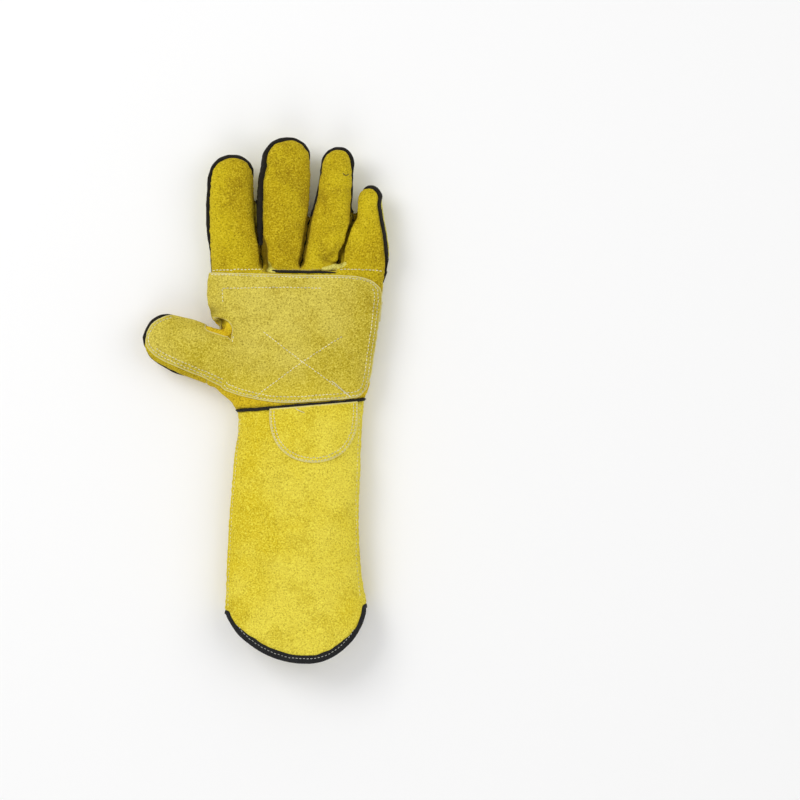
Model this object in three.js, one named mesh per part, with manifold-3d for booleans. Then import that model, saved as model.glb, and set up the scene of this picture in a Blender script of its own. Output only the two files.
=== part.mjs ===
// A left-hand welding gauntlet of split leather, lying palm up with its fingers towards +Y and its thumb towards -X.
// The glove is one hollow form, the union of a flattened body tube and five digits.
// Its wall is cut into the leather panels. Patches, strap, piping and binding lie on it or between them.
import * as THREE from "three";
import { mergeVertices } from "three/addons/utils/BufferGeometryUtils.js";
import Module from "manifold-3d";

const wasm = await Module();
wasm.setup();

// Driving dimensions, in millimetres
const HAND_LENGTH = 99; // wrist seam to the seam at the base of the fingers
const HAND_WIDTH = 138;
const PALM_DEPTH = 19; // side seam up to the palm
const BACK_DEPTH = 17; // side seam down to the back, before the floor flattens it
const CUFF_LENGTH = 200; // wrist seam to the lowest point of the hem
const CUFF_WIDTH = 112;
const CUFF_PALM_DEPTH = 23;
const CUFF_BACK_DEPTH = 19;
const REST_DEPTH = 14; // side seam down to the leather that lies flat
const LEATHER = 2; // wall thickness, leather and its sewn-in lining
const PATCH_LEATHER = 1.5;
const PIPING = 1.2;
const PIPING_PROUD = 2.2;
const BINDING_TAPE = 1.2;
const BINDING_WIDTH = 8;
const CLEARANCE = 0.3;
const HEM_DROP = 39; // corners of the hem down to its lowest point, on the palm side
const HEM_DROP_BACK = 20;

// Digits. base is in shares of the hand's width and length. lean, bow and rise are shares of the digit's length.
// along is in shares of the length, from the root inside the hand; wide and deep in shares of width and depth.
const DIGITS = {
  index: {
    base: [-0.346, 1], lean: -0.035, bow: -0.022, rise: 0.07, roll: 8, heading: 0,
    length: 86.5, width: 37, depth: 13,
    sections: [
      { along: -0.2, wide: 0.96, deep: 0.86 },
      { along: 0, wide: 1, deep: 0.97 },
      { along: 0.22, wide: 0.955, deep: 1 },
      { along: 0.53, wide: 0.94, deep: 0.98 },
      { along: 0.77, wide: 0.89, deep: 0.9 },
    ],
  },
  middle: {
    base: [-0.098, 1], lean: 0.055, bow: -0.01, rise: 0.08, roll: 12, heading: 0,
    length: 99.5, width: 37.5, depth: 13.5,
    sections: [
      { along: -0.2, wide: 0.68, deep: 0.82 },
      { along: 0, wide: 0.7, deep: 0.92 },
      { along: 0.18, wide: 0.79, deep: 0.96 },
      { along: 0.46, wide: 0.94, deep: 1 },
      { along: 0.68, wide: 1, deep: 0.98 },
      { along: 0.8, wide: 0.92, deep: 0.9 },
    ],
  },
  ring: {
    base: [0.1, 1], lean: 0.165, bow: 0.035, rise: 0.07, roll: -10, heading: 0,
    length: 92.5, width: 30.6, depth: 12.5,
    sections: [
      { along: -0.2, wide: 0.82, deep: 0.86 },
      { along: 0, wide: 0.84, deep: 0.96 },
      { along: 0.2, wide: 0.88, deep: 1 },
      { along: 0.38, wide: 1, deep: 1 },
      { along: 0.57, wide: 0.9, deep: 1 },
      { along: 0.85, wide: 0.76, deep: 0.88 },
    ],
  },
  little: {
    base: [0.346, 1], lean: 0.085, bow: 0.04, rise: 0.06, roll: -16, heading: 0,
    length: 63.5, width: 35, depth: 12,
    sections: [
      { along: -0.25, wide: 0.96, deep: 0.9 },
      { along: 0, wide: 1, deep: 1 },
      { along: 0.24, wide: 0.98, deep: 1 },
      { along: 0.4, wide: 0.86, deep: 1 },
      { along: 0.58, wide: 0.69, deep: 0.96 },
      { along: 0.8, wide: 0.54, deep: 0.86 },
    ],
  },
  thumb: {
    base: [-0.304, 0.237], lean: 0, bow: 0, rise: 0.04, roll: 0, heading: 69,
    length: 80.5, width: 41, depth: 14,
    sections: [
      { along: -0.1, wide: 0.92, deep: 0.9 },
      { along: 0.2, wide: 1, deep: 1.02 },
      { along: 0.45, wide: 1, deep: 1.05 },
      { along: 0.62, wide: 1, deep: 1 },
      { along: 0.74, wide: 0.93, deep: 0.94 },
    ],
  },
};
const FINGERS = ["index", "middle", "ring", "little"];

// Body sections from the hem to the dome between the fingers.
// along is in shares of the cuff's or the hand's length from the wrist, left and right in shares of its width.
// palm and back are in shares of its depths.
const CUFF_SECTIONS = [
  { along: -1.06, left: -0.53, right: 0.495, palm: 1, back: 1 },
  { along: -0.8, left: -0.512, right: 0.466, palm: 1, back: 1 },
  { along: -0.64, left: -0.506, right: 0.428, palm: 1, back: 1 },
  { along: -0.48, left: -0.49, right: 0.414, palm: 0.97, back: 1 },
  { along: -0.28, left: -0.46, right: 0.426, palm: 0.92, back: 0.97 },
  { along: -0.07, left: -0.418, right: 0.44, palm: 0.82, back: 0.93 },
];
const HAND_SECTIONS = [
  { along: 0.0, left: -0.395, right: 0.358, palm: 0.98, back: 0.97 },
  { along: 0.06, left: -0.45, right: 0.378, palm: 0.96, back: 0.97 },
  { along: 0.13, left: -0.475, right: 0.39, palm: 0.94, back: 0.97 },
  { along: 0.33, left: -0.41, right: 0.403, palm: 0.94, back: 1 },
  { along: 0.5, left: -0.41, right: 0.426, palm: 0.98, back: 1 },
  { along: 0.61, left: -0.484, right: 0.437, palm: 1, back: 1 },
  { along: 0.69, left: -0.503, right: 0.444, palm: 1, back: 1 },
  { along: 0.85, left: -0.508, right: 0.462, palm: 0.93, back: 0.96 },
  { along: 0.96, left: -0.502, right: 0.468, palm: 0.84, back: 0.9 },
  { along: 1.01, left: -0.48, right: 0.45, palm: 0.72, back: 0.78 },
  { along: 1.04, left: -0.42, right: 0.4, palm: 0.4, back: 0.45 },
];

// Outlines of what is laid on the leather, as [across, along] in shares of the hand's width and length
const PATCH_PALM = [
  [-0.7, 0.99], [-0.52, 0.985], [-0.3, 0.97], [0, 0.955], [0.27, 0.955], [0.38, 0.935],
  [0.432, 0.88], [0.447, 0.82], [0.424, 0.63], [0.406, 0.49], [0.385, 0.33], [0.374, 0.15],
  [0.35, 0.04], [0.294, 0.012], [0.067, -0.01], [-0.022, -0.02], [-0.127, -0.018], [-0.227, 0.004],
  [-0.333, 0.042], [-0.454, 0.104], [-0.4, 0.3], [-0.37, 0.47], [-0.355, 0.55], [-0.4, 0.63],
  [-0.5, 0.66], [-0.7, 0.67],
];
const CROTCH_TAB = [
  [-0.515, 0.585], [-0.48, 0.625], [-0.42, 0.612], [-0.378, 0.556], [-0.386, 0.5], [-0.42, 0.487], [-0.477, 0.533],
];
const STRAP = [
  [0.55, 0.7], [0.43, 0.77], [0.355, 0.82], [0.288, 0.87], [0.122, 0.9], [-0.017, 0.94], [-0.122, 0.962],
  [-0.31, 0.972], [-0.6, 0.965], [-0.6, 0.73], [-0.438, 0.74], [-0.283, 0.752], [-0.089, 0.735],
  [0.006, 0.71], [0.1, 0.68], [0.2, 0.655], [0.355, 0.625], [0.55, 0.585],
];
// The patch's lobe over the thumb, as [across, along] in shares of the thumb's width and length
const PATCH_THUMB = [
  [0.7, 0.42], [0.7, 1.3], [-0.3, 1.3], [-0.4, 0.85], [-0.425, 0.6], [-0.41, 0.42], [-0.4, 0.2], [-0.43, 0.0], [0.3, 0.0], [0.46, 0.32],
];
// Seams of the back, from the little finger's side to the thumb's, in shares of the hand
const WRIST_BACK = [
  [0.7, 0.13], [0.38, 0.155], [0.25, 0.21], [0.1, 0.245], [-0.05, 0.26], [-0.2, 0.258], [-0.33, 0.245],
  [-0.38, 0.2], [-0.4, 0.08], [-0.42, -0.3],
];
const BACK_BORDER = [[-0.46, 0.95], [-0.45, 0.66], [-0.42, 0.5], [-0.39, 0.37], [-0.36, 0.23], [-0.34, 0.1], [-0.34, -0.3]];
const STRAP_SEAM = { along: 0.8, slope: -0.13 }; // where finger backs and hand back meet, under the strap
const WRIST_SEAM = { along: -0.042, slope: 0.085 }; // the palm side's wrist seam climbs towards the little finger
const CUFF_PATCH = { centre: 0.097, half: 0.3, drop: 0.237, roundness: 0.6 }; // half-moon, in shares of the cuff
const HEM = { lowest: 0.075, left: -0.495, right: 0.445, slope: 0.045, roundness: 1.15 }; // across in shares of the cuff
const INDEX_TAIL = 0.77; // the piping runs down the hand's edges as far as these shares of its length
const LITTLE_TAIL = 0.91;
const BASE_TAIL = 0.985;
const THUMB_SPLIT = 0.3; // thumb leathers start at these shares of the thumb's length
const THUMB_CREASE = 0.42;
const THUMB_WELT_START = 0.5;
const ROLL_FULL = 0.4; // a finger's roll grows from its base to this share of its length

// Shape constants
const RING_POWER = 2.3; // exponent of the flattened round sections
const BODY_SIDES = 20;
const DIGIT_SIDES = 12;
const CAP_ANGLES = [28, 54, 75]; // steps round the cap at a digit's tip
const CAP_FULLNESS = 0.85;
const DIGIT_STATIONS = [-0.6, 0, 0.14, 0.28, 0.42, 0.75, 1.3]; // of a digit's seam surface
const DIGIT_STRIPS = [-0.8, 0, 0.8]; // across it
const CELL_HEIGHTS = [0.7, 1, 1.15, 1.35, 1.6, 2.2]; // of the lines that part two fingers
const REACH = 400; // half size of a cutting block
const DIGIT_REACH = 60;
const PIPING_SLOT = PIPING / 2 + CLEARANCE;
const SEAM_SLOT = CLEARANCE / 2;
const LAYER_TOP = CLEARANCE + PATCH_LEATHER;
const BINDING_FOLD = CLEARANCE + BINDING_TAPE;

// A closed solid of these triangles, its faces turned outwards
function solidOf(points, triangles) {
  const build = (triVerts) =>
    new wasm.Manifold(
      new wasm.Mesh({
        numProp: 3,
        vertProperties: new Float32Array(points.flatMap((point) => point.toArray())),
        triVerts: new Uint32Array(triVerts),
      }),
    );
  const made = build(triangles);
  return made.volume() < 0 ? build(triangles.slice().reverse()) : made;
}

// A tube through rings of the same number of points, closed at both ends by fans
function loft(rings) {
  const sides = rings[0].length;
  const points = rings.flat();
  const triangles = [];
  for (let ring = 0; ring < rings.length - 1; ring++) {
    for (let side = 0; side < sides; side++) {
      const a = ring * sides + side;
      const b = ring * sides + ((side + 1) % sides);
      triangles.push(a, b, b + sides, a, b + sides, a + sides);
    }
  }
  for (const ring of [0, rings.length - 1]) {
    const centre = points.length;
    const middle = new THREE.Vector3();
    rings[ring].forEach((point) => middle.addScaledVector(point, 1 / sides));
    points.push(middle);
    for (let side = 0; side < sides; side++) {
      const a = ring * sides + side;
      const b = ring * sides + ((side + 1) % sides);
      triangles.push(centre, ...(ring === 0 ? [b, a] : [a, b]));
    }
  }
  return solidOf(points, triangles);
}

// The solid between two sheets of the same rows and columns, with the same diagonals in both
function between(lowSheet, highSheet) {
  const rows = lowSheet.length;
  const columns = lowSheet[0].length;
  const count = rows * columns;
  const triangles = [];
  const at = (row, column) => row * columns + column;
  for (let row = 0; row < rows - 1; row++) {
    for (let column = 0; column < columns - 1; column++) {
      const [a, b, c, d] = [at(row, column), at(row, column + 1), at(row + 1, column + 1), at(row + 1, column)];
      triangles.push(a, c, b, a, d, c);
      triangles.push(a + count, b + count, c + count, a + count, c + count, d + count);
    }
  }
  const rim = [];
  for (let column = 0; column < columns; column++) rim.push(at(0, column));
  for (let row = 1; row < rows; row++) rim.push(at(row, columns - 1));
  for (let column = columns - 2; column >= 0; column--) rim.push(at(rows - 1, column));
  for (let row = rows - 2; row > 0; row--) rim.push(at(row, 0));
  rim.forEach((a, i) => {
    const b = rim[(i + 1) % rim.length];
    triangles.push(a, b, b + count, a, b + count, a + count);
  });
  return solidOf([...lowSheet.flat(), ...highSheet.flat()], triangles);
}

// An upright block over a plan outline of [x, y] points
function prism(outline, low = -REACH, high = REACH) {
  const shape = new THREE.Shape(outline.map(([x, y]) => new THREE.Vector2(x, y)));
  const geometry = new THREE.ExtrudeGeometry(shape, { depth: high - low, bevelEnabled: false });
  geometry.translate(0, 0, low);
  geometry.deleteAttribute("normal");
  geometry.deleteAttribute("uv");
  const merged = mergeVertices(geometry, 1e-4);
  const position = merged.getAttribute("position");
  const points = Array.from({ length: position.count }, (_, i) =>
    new THREE.Vector3().fromBufferAttribute(position, i),
  );
  return solidOf(points, Array.from(merged.index.array));
}

const rectangle = (left, bottom, right, top) => [[left, bottom], [right, bottom], [right, top], [left, top]];
const shifted = (outline, dx, dy) => outline.map(([x, y]) => [x + dx, y + dy]);
const handPlan = (rows) => rows.map(([across, along]) => [across * HAND_WIDTH, along * HAND_LENGTH]);

// The blocks above and below a curve that runs from right to left
const above = (curve) =>
  prism([[REACH, curve[0][1]], ...curve, [-REACH, curve[curve.length - 1][1]], [-REACH, REACH], [REACH, REACH]]);
const below = (curve) =>
  prism([[REACH, curve[0][1]], ...curve, [-REACH, curve[curve.length - 1][1]], [-REACH, -REACH], [REACH, -REACH]]);
const line = (y, slope = 0) => [[HAND_WIDTH, y + slope * HAND_WIDTH], [-HAND_WIDTH, y - slope * HAND_WIDTH]];
const fingerSeam = (shift) => line(HAND_LENGTH + shift);
const wristFront = (shift) => line(WRIST_SEAM.along * HAND_LENGTH + shift, WRIST_SEAM.slope);
const strapSeam = (shift) => line(STRAP_SEAM.along * HAND_LENGTH + shift, STRAP_SEAM.slope);
const upright = (low, high) => prism(rectangle(-REACH, -REACH, REACH, REACH), low, high);

// The hem dips in an arc from corner to corner.
function hem(drop, shift) {
  const steps = 12;
  const corner = HEM_DROP - CUFF_LENGTH;
  return Array.from({ length: steps + 1 }, (_, i) => {
    const angle = (Math.PI * i) / steps;
    const side = angle < Math.PI / 2 ? HEM.right - HEM.lowest : HEM.lowest - HEM.left;
    const x = CUFF_WIDTH * (HEM.lowest + side * Math.cos(angle));
    return [x, corner + HEM.slope * x - drop * Math.sin(angle) ** HEM.roundness + shift];
  });
}

// A flattened round section in the x-z plane at this y; its first point lies on the side seam.
function section({ left, right, up, down, y, sides }) {
  const bend = (value) => Math.sign(value) * Math.abs(value) ** (2 / RING_POWER);
  return Array.from({ length: sides }, (_, side) => {
    const angle = (2 * Math.PI * side) / sides;
    const across = bend(Math.cos(angle));
    const height = bend(Math.sin(angle));
    return new THREE.Vector3((left + right) / 2 + (across * (right - left)) / 2, y, height * (height > 0 ? up : down));
  });
}

// Cuff and hand as one tube, its surface moved outwards by grow
function bodyTube(grow) {
  const cuff = { run: CUFF_LENGTH, span: CUFF_WIDTH, up: CUFF_PALM_DEPTH, down: CUFF_BACK_DEPTH };
  const hand = { run: HAND_LENGTH, span: HAND_WIDTH, up: PALM_DEPTH, down: BACK_DEPTH };
  const rows = [
    ...CUFF_SECTIONS.map((row) => ({ row, size: cuff })),
    ...HAND_SECTIONS.map((row) => ({ row, size: hand })),
  ];
  return loft(
    rows.map(({ row, size }, at) =>
      section({
        left: row.left * size.span - grow,
        right: row.right * size.span + grow,
        up: row.palm * size.up + grow,
        down: row.back * size.down + grow,
        y: row.along * size.run + (at === rows.length - 1 ? grow : 0),
        sides: BODY_SIDES,
      }),
    ),
  );
}

// The rows of a digit from its root to its rounded tip, in millimetres
function digitRows(digit, grow) {
  const straight = digit.sections.map((row) => ({
    along: row.along * digit.length,
    half: (row.wide * digit.width) / 2 + grow,
    deep: row.deep * digit.depth + grow,
  }));
  const last = straight[straight.length - 1];
  const capLength = digit.length + grow - last.along;
  const cap = CAP_ANGLES.map((degrees) => {
    const angle = THREE.MathUtils.degToRad(degrees);
    const share = Math.cos(angle) ** CAP_FULLNESS;
    return { along: last.along + capLength * Math.sin(angle), half: last.half * share, deep: last.deep * share };
  });
  return [...straight, ...cap];
}

// A digit's middle line drifts across and rises as it runs out.
function driftOf(digit, along) {
  const share = THREE.MathUtils.clamp(along / digit.length, 0, 1);
  return digit.lean * along + digit.bow * digit.length * Math.sin(Math.PI * share);
}

// Moves points of a digit's own straight frame into the glove.
function placeDigit(digit, along, points) {
  const share = Math.max(0, along / digit.length);
  const turn = digit.roll * THREE.MathUtils.smoothstep(share, 0, ROLL_FULL);
  const roll = new THREE.Matrix4().makeRotationY(THREE.MathUtils.degToRad(turn));
  const drift = new THREE.Matrix4().makeTranslation(driftOf(digit, along), 0, digit.rise * digit.length * share ** 2);
  const heading = new THREE.Matrix4().makeRotationZ(THREE.MathUtils.degToRad(digit.heading));
  const place = new THREE.Matrix4()
    .makeTranslation(digit.base[0] * HAND_WIDTH, digit.base[1] * HAND_LENGTH, 0)
    .multiply(heading)
    .multiply(drift)
    .multiply(roll);
  return points.map((point) => point.clone().applyMatrix4(place));
}

function digitTube(digit, grow) {
  return loft(
    digitRows(digit, grow).map(({ along, half, deep }) =>
      placeDigit(digit, along, section({ left: -half, right: half, up: deep, down: deep, y: along, sides: DIGIT_SIDES })),
    ),
  );
}

// The block between two heights over a digit's seam surface, from one share of its length on
function digitBlock(digit, low, high, from = DIGIT_STATIONS[0]) {
  const stations = [from, ...DIGIT_STATIONS.filter((share) => share > from)];
  const sheet = (height) =>
    stations.map((share) => {
      const along = share * digit.length;
      const strips = DIGIT_STRIPS.map((strip) => new THREE.Vector3(strip * digit.width, along, height));
      return placeDigit(digit, along, strips);
    });
  return between(sheet(low), sheet(high));
}

// The plan cell of one finger, drawn in by shrink from the lines that part it from its neighbours
function fingerCell(name, shrink) {
  const at = FINGERS.indexOf(name);
  const edge = (digit, y, side) => {
    const along = Math.min(y - digit.base[1] * HAND_LENGTH, digit.length);
    const rows = digitRows(digit, 0);
    const next = Math.max(1, rows.findIndex((row) => row.along >= along));
    const [a, b] = [rows[next - 1], rows[next]];
    const share = THREE.MathUtils.clamp((along - a.along) / (b.along - a.along), 0, 1);
    return digit.base[0] * HAND_WIDTH + driftOf(digit, along) + side * THREE.MathUtils.lerp(a.half, b.half, share);
  };
  const heights = CELL_HEIGHTS.map((share) => share * HAND_LENGTH);
  const parting = (first, second, shift) =>
    heights.map((y) => [(edge(DIGITS[first], y, 1) + edge(DIGITS[second], y, -1)) / 2 + shift, y]);
  const left = at === 0 ? heights.map((y) => [-REACH, y]) : parting(FINGERS[at - 1], name, shrink);
  const right = at === FINGERS.length - 1 ? heights.map((y) => [REACH, y]) : parting(name, FINGERS[at + 1], -shrink);
  return prism([...right, ...left.reverse()]);
}

// The whole glove with its surface moved outwards by grow, flat where it lies on its back
const forms = new Map();
function gloveForm(grow) {
  if (!forms.has(grow)) {
    const digits = Object.values(DIGITS).map((digit) => digitTube(digit, grow));
    const whole = digits.reduce((form, digit) => form.add(digit), bodyTube(grow));
    forms.set(grow, whole.intersect(upright(-REST_DEPTH - grow, REACH)));
  }
  return forms.get(grow);
}
const layer = (inner, outer) => gloveForm(outer).subtract(gloveForm(inner));

const hollow = gloveForm(-LEATHER);
const shell = layer(-LEATHER, 0);
const overLeather = layer(CLEARANCE, LAYER_TOP);
const overPiping = upright(PIPING_SLOT + CLEARANCE, REACH);
const underPiping = upright(-REACH, -PIPING_SLOT - CLEARANCE);

// The palm's or the back's half of the body. The slot at the side seam is wider where piping lies in it.
function bodyHalf(side) {
  const half = (outline, slot) => prism(outline, ...(side > 0 ? [slot, REACH] : [-REACH, -slot]));
  const indexTail = INDEX_TAIL * HAND_LENGTH - CLEARANCE;
  const littleTail = LITTLE_TAIL * HAND_LENGTH - CLEARANCE;
  return half(rectangle(-REACH, indexTail, 0, REACH), PIPING_SLOT)
    .add(half(rectangle(0, littleTail, REACH, REACH), PIPING_SLOT))
    .add(half(rectangle(-REACH, -REACH, 0, indexTail), SEAM_SLOT))
    .add(half(rectangle(0, -REACH, REACH, littleTail), SEAM_SLOT));
}
const palmHalf = bodyHalf(1);
const backHalf = bodyHalf(-1);

// The thumb's own leather from one share of its length on
function thumbZone(from, margin) {
  return digitTube(DIGITS.thumb, margin).intersect(digitBlock(DIGITS.thumb, -DIGIT_REACH, DIGIT_REACH, from));
}
const thumbGap = CLEARANCE / DIGITS.thumb.length;

// One finger's leather on the palm side or the back
const fingerLeather = (name, seamShift, shrink, low, high) =>
  shell.intersect(fingerCell(name, shrink)).intersect(above(fingerSeam(seamShift))).intersect(digitBlock(DIGITS[name], low, high));

// The palm runs on into the index and little fingers; the two between them are set in.
function palm() {
  const hand = shell
    .intersect(palmHalf)
    .intersect(below(fingerSeam(-PIPING_SLOT)))
    .intersect(above(wristFront(PIPING_SLOT)))
    .subtract(thumbZone(THUMB_SPLIT, 1 + CLEARANCE));
  const finger = (name) => fingerLeather(name, -PIPING_SLOT - CLEARANCE, SEAM_SLOT, PIPING_SLOT, DIGIT_REACH);
  return hand.add(finger("index")).add(finger("little"));
}
const setInFront = (name) => fingerLeather(name, PIPING_SLOT, SEAM_SLOT, PIPING_SLOT, DIGIT_REACH);
const thumbFront = () =>
  shell.intersect(thumbZone(THUMB_SPLIT + thumbGap, 1)).intersect(digitBlock(DIGITS.thumb, PIPING_SLOT, DIGIT_REACH));

// One piece from the strap to all four fingertips
function fingerBacks() {
  const knuckles = shell.intersect(backHalf).intersect(above(strapSeam(CLEARANCE))).intersect(below(fingerSeam(0)));
  return FINGERS.reduce(
    (made, name) => made.add(fingerLeather(name, -CLEARANCE, SEAM_SLOT, -DIGIT_REACH, -PIPING_SLOT)),
    knuckles,
  );
}

const wristBack = (dx, dy) => shifted(handPlan(WRIST_BACK), dx, dy);
const lowerBack = () =>
  shell.intersect(backHalf).intersect(below(strapSeam(0))).intersect(above(wristBack(-CLEARANCE, CLEARANCE)));
const thumbSide = (shift) => {
  const border = shifted(handPlan(BACK_BORDER), shift, 0);
  return prism([...border, [-REACH, border[border.length - 1][1]], [-REACH, border[0][1]]]);
};
const handBack = () => lowerBack().subtract(thumbZone(THUMB_CREASE, 1 + CLEARANCE)).subtract(thumbSide(0));
const thumbSidePanel = () =>
  lowerBack().subtract(thumbZone(THUMB_CREASE, 1 + CLEARANCE)).intersect(thumbSide(-CLEARANCE));
const thumbBack = () =>
  shell.intersect(thumbZone(THUMB_CREASE + thumbGap, 1)).intersect(digitBlock(DIGITS.thumb, -DIGIT_REACH, -PIPING_SLOT));

// What is laid on the leather
function palmPatch() {
  const [originX, originY] = [DIGITS.thumb.base[0] * HAND_WIDTH, DIGITS.thumb.base[1] * HAND_LENGTH];
  const heading = THREE.MathUtils.degToRad(DIGITS.thumb.heading);
  const lobe = PATCH_THUMB.map(([across, along]) => {
    const point = new THREE.Vector2(across * DIGITS.thumb.width, along * DIGITS.thumb.length);
    point.rotateAround(new THREE.Vector2(), heading);
    return [originX + point.x, originY + point.y];
  });
  return overLeather
    .intersect(overPiping)
    .intersect(prism(handPlan(PATCH_PALM)).add(prism(lobe)))
    .intersect(above(wristFront(PIPING_SLOT)))
    .subtract(prism(handPlan(CROTCH_TAB)))
    .subtract(digitBlock(DIGITS.thumb, -DIGIT_REACH, PIPING_SLOT + CLEARANCE, THUMB_SPLIT));
}
const crotchTab = () => overLeather.intersect(overPiping).intersect(prism(handPlan(CROTCH_TAB)));
const knuckleStrap = () => overLeather.intersect(underPiping).intersect(prism(handPlan(STRAP)));
function cuffPatch() {
  const steps = 12;
  const arc = Array.from({ length: steps + 1 }, (_, i) => {
    const angle = (Math.PI * i) / steps;
    const across = CUFF_PATCH.centre + CUFF_PATCH.half * Math.cos(angle);
    return [CUFF_WIDTH * across, -CUFF_LENGTH * CUFF_PATCH.drop * Math.sin(angle) ** CUFF_PATCH.roundness];
  });
  const top = HAND_LENGTH / 4;
  return overLeather
    .intersect(overPiping)
    .intersect(prism([[arc[0][0], top], [arc[steps][0], top], ...arc.slice().reverse()]))
    .intersect(below(wristFront(-PIPING_SLOT)));
}

// Black piping in the seams
function fingerWelt(name, tail) {
  const digit = DIGITS[name];
  return digitTube(digit, PIPING_PROUD)
    .add(bodyTube(PIPING_PROUD))
    .intersect(fingerCell(name, SEAM_SLOT))
    .intersect(above(line(tail * HAND_LENGTH)))
    .intersect(digitBlock(digit, -PIPING / 2, PIPING / 2))
    .subtract(hollow);
}
const thumbWelt = () =>
  digitTube(DIGITS.thumb, PIPING_PROUD)
    .intersect(digitBlock(DIGITS.thumb, -PIPING / 2, PIPING / 2, THUMB_WELT_START))
    .subtract(hollow);
const band = (curve) => layer(-LEATHER, PIPING).intersect(overPiping).intersect(above(curve(-PIPING / 2))).intersect(below(curve(PIPING / 2)));
const wristWelt = () => band(wristFront);
const baseWelt = () => band(fingerSeam).intersect(fingerCell("middle", SEAM_SLOT).add(fingerCell("ring", SEAM_SLOT)));

// The cuff and the tape folded round its hem, outside and inside the leather
const hemEdge = BINDING_TAPE + CLEARANCE;
const cuffFront = () =>
  shell.intersect(palmHalf).intersect(below(wristFront(-PIPING_SLOT))).intersect(above(hem(HEM_DROP, hemEdge)));
const cuffBack = () =>
  shell.intersect(backHalf).intersect(below(wristBack(0, 0))).intersect(above(hem(HEM_DROP_BACK, hemEdge)));
function hemBinding() {
  const half = (drop, low, high) => {
    const slot = layer(-LEATHER - CLEARANCE, CLEARANCE).intersect(above(hem(drop, BINDING_TAPE)));
    return layer(-LEATHER - BINDING_FOLD, BINDING_FOLD)
      .intersect(above(hem(drop, 0)))
      .intersect(below(hem(drop, BINDING_WIDTH)))
      .subtract(slot)
      .intersect(upright(low, high));
  };
  return half(HEM_DROP, 0, REACH).add(half(HEM_DROP_BACK, -REACH, 0));
}

// The main body of a cut, without the crumbs that seam surfaces leave beside it
function mainBody(solid) {
  return solid.decompose().reduce((best, body) => (body.volume() > best.volume() ? body : best));
}

function meshOf(name, solid, material) {
  const data = mainBody(solid).getMesh();
  const geometry = new THREE.BufferGeometry();
  geometry.setAttribute("position", new THREE.BufferAttribute(new Float32Array(data.vertProperties), 3));
  geometry.setIndex(new THREE.BufferAttribute(new Uint32Array(data.triVerts), 1));
  const mesh = new THREE.Mesh(geometry, material);
  mesh.name = name;
  return mesh;
}

const leather = (color) => new THREE.MeshStandardMaterial({ color, roughness: 0.95, metalness: 0 });
const MUSTARD = 0xb39a1c;
const PALE = 0xc8bd55;
const BRIGHT = 0xd8c22e;
const ORANGE = 0xcf9f08;
const BLACK = 0x14120f;

const pieces = [
  meshOf("palm", palm(), leather(MUSTARD)),
  meshOf("middle_front", setInFront("middle"), leather(MUSTARD)),
  meshOf("ring_front", setInFront("ring"), leather(MUSTARD)),
  meshOf("thumb_front", thumbFront(), leather(MUSTARD)),
  meshOf("palm_patch", palmPatch(), leather(PALE)),
  meshOf("crotch_tab", crotchTab(), leather(ORANGE)),
  meshOf("finger_backs", fingerBacks(), leather(PALE)),
  meshOf("hand_back", handBack(), leather(PALE)),
  meshOf("knuckle_strap", knuckleStrap(), leather(BRIGHT)),
  meshOf("thumb_back", thumbBack(), leather(ORANGE)),
  meshOf("thumb_side_panel", thumbSidePanel(), leather(ORANGE)),
  meshOf("index_welt", fingerWelt("index", INDEX_TAIL), leather(BLACK)),
  meshOf("middle_welt", fingerWelt("middle", BASE_TAIL), leather(BLACK)),
  meshOf("ring_welt", fingerWelt("ring", BASE_TAIL), leather(BLACK)),
  meshOf("little_welt", fingerWelt("little", LITTLE_TAIL), leather(BLACK)),
  meshOf("thumb_welt", thumbWelt(), leather(BLACK)),
  meshOf("base_welt", baseWelt(), leather(BLACK)),
  meshOf("wrist_welt", wristWelt(), leather(BLACK)),
  meshOf("cuff_front", cuffFront(), leather(BRIGHT)),
  meshOf("cuff_back", cuffBack(), leather(BRIGHT)),
  meshOf("cuff_patch", cuffPatch(), leather(BRIGHT)),
  meshOf("hem_binding", hemBinding(), leather(BLACK)),
];

// The finished glove stands with the middle of its footprint at the origin.
const gauntlet = new THREE.Group();
gauntlet.add(...pieces);
const extent = new THREE.Box3().setFromObject(gauntlet);
const middle = extent.getCenter(new THREE.Vector3());
gauntlet.position.set(-middle.x, -middle.y, -extent.min.z);

export default gauntlet;
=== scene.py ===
import math
import random

import bpy
import numpy as np
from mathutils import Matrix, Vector, noise
from mathutils.bvhtree import BVHTree


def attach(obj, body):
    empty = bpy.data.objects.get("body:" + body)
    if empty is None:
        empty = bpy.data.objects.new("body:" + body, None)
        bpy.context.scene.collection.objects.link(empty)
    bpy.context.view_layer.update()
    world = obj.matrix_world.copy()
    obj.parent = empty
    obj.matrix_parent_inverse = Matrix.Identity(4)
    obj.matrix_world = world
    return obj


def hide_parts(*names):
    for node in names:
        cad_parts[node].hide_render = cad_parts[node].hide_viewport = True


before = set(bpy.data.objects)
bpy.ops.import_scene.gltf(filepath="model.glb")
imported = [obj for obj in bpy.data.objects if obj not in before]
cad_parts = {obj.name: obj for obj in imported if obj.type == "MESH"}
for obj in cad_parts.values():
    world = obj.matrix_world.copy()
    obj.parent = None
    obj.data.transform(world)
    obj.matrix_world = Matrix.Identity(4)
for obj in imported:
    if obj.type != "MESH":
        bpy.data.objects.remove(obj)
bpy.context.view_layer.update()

# The glove's own axes in the frame: millimetres, side seam at height 0, wrist at y 0, hand's middle at x 0
MM = 0.001
ORIGIN = np.array([25.55, -0.16, 15.8])
PIXEL = 0.765  # millimetres a pixel of the photograph
PHOTO_WRIST = (300, 400)  # the pixel where the glove's own axes start

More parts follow.
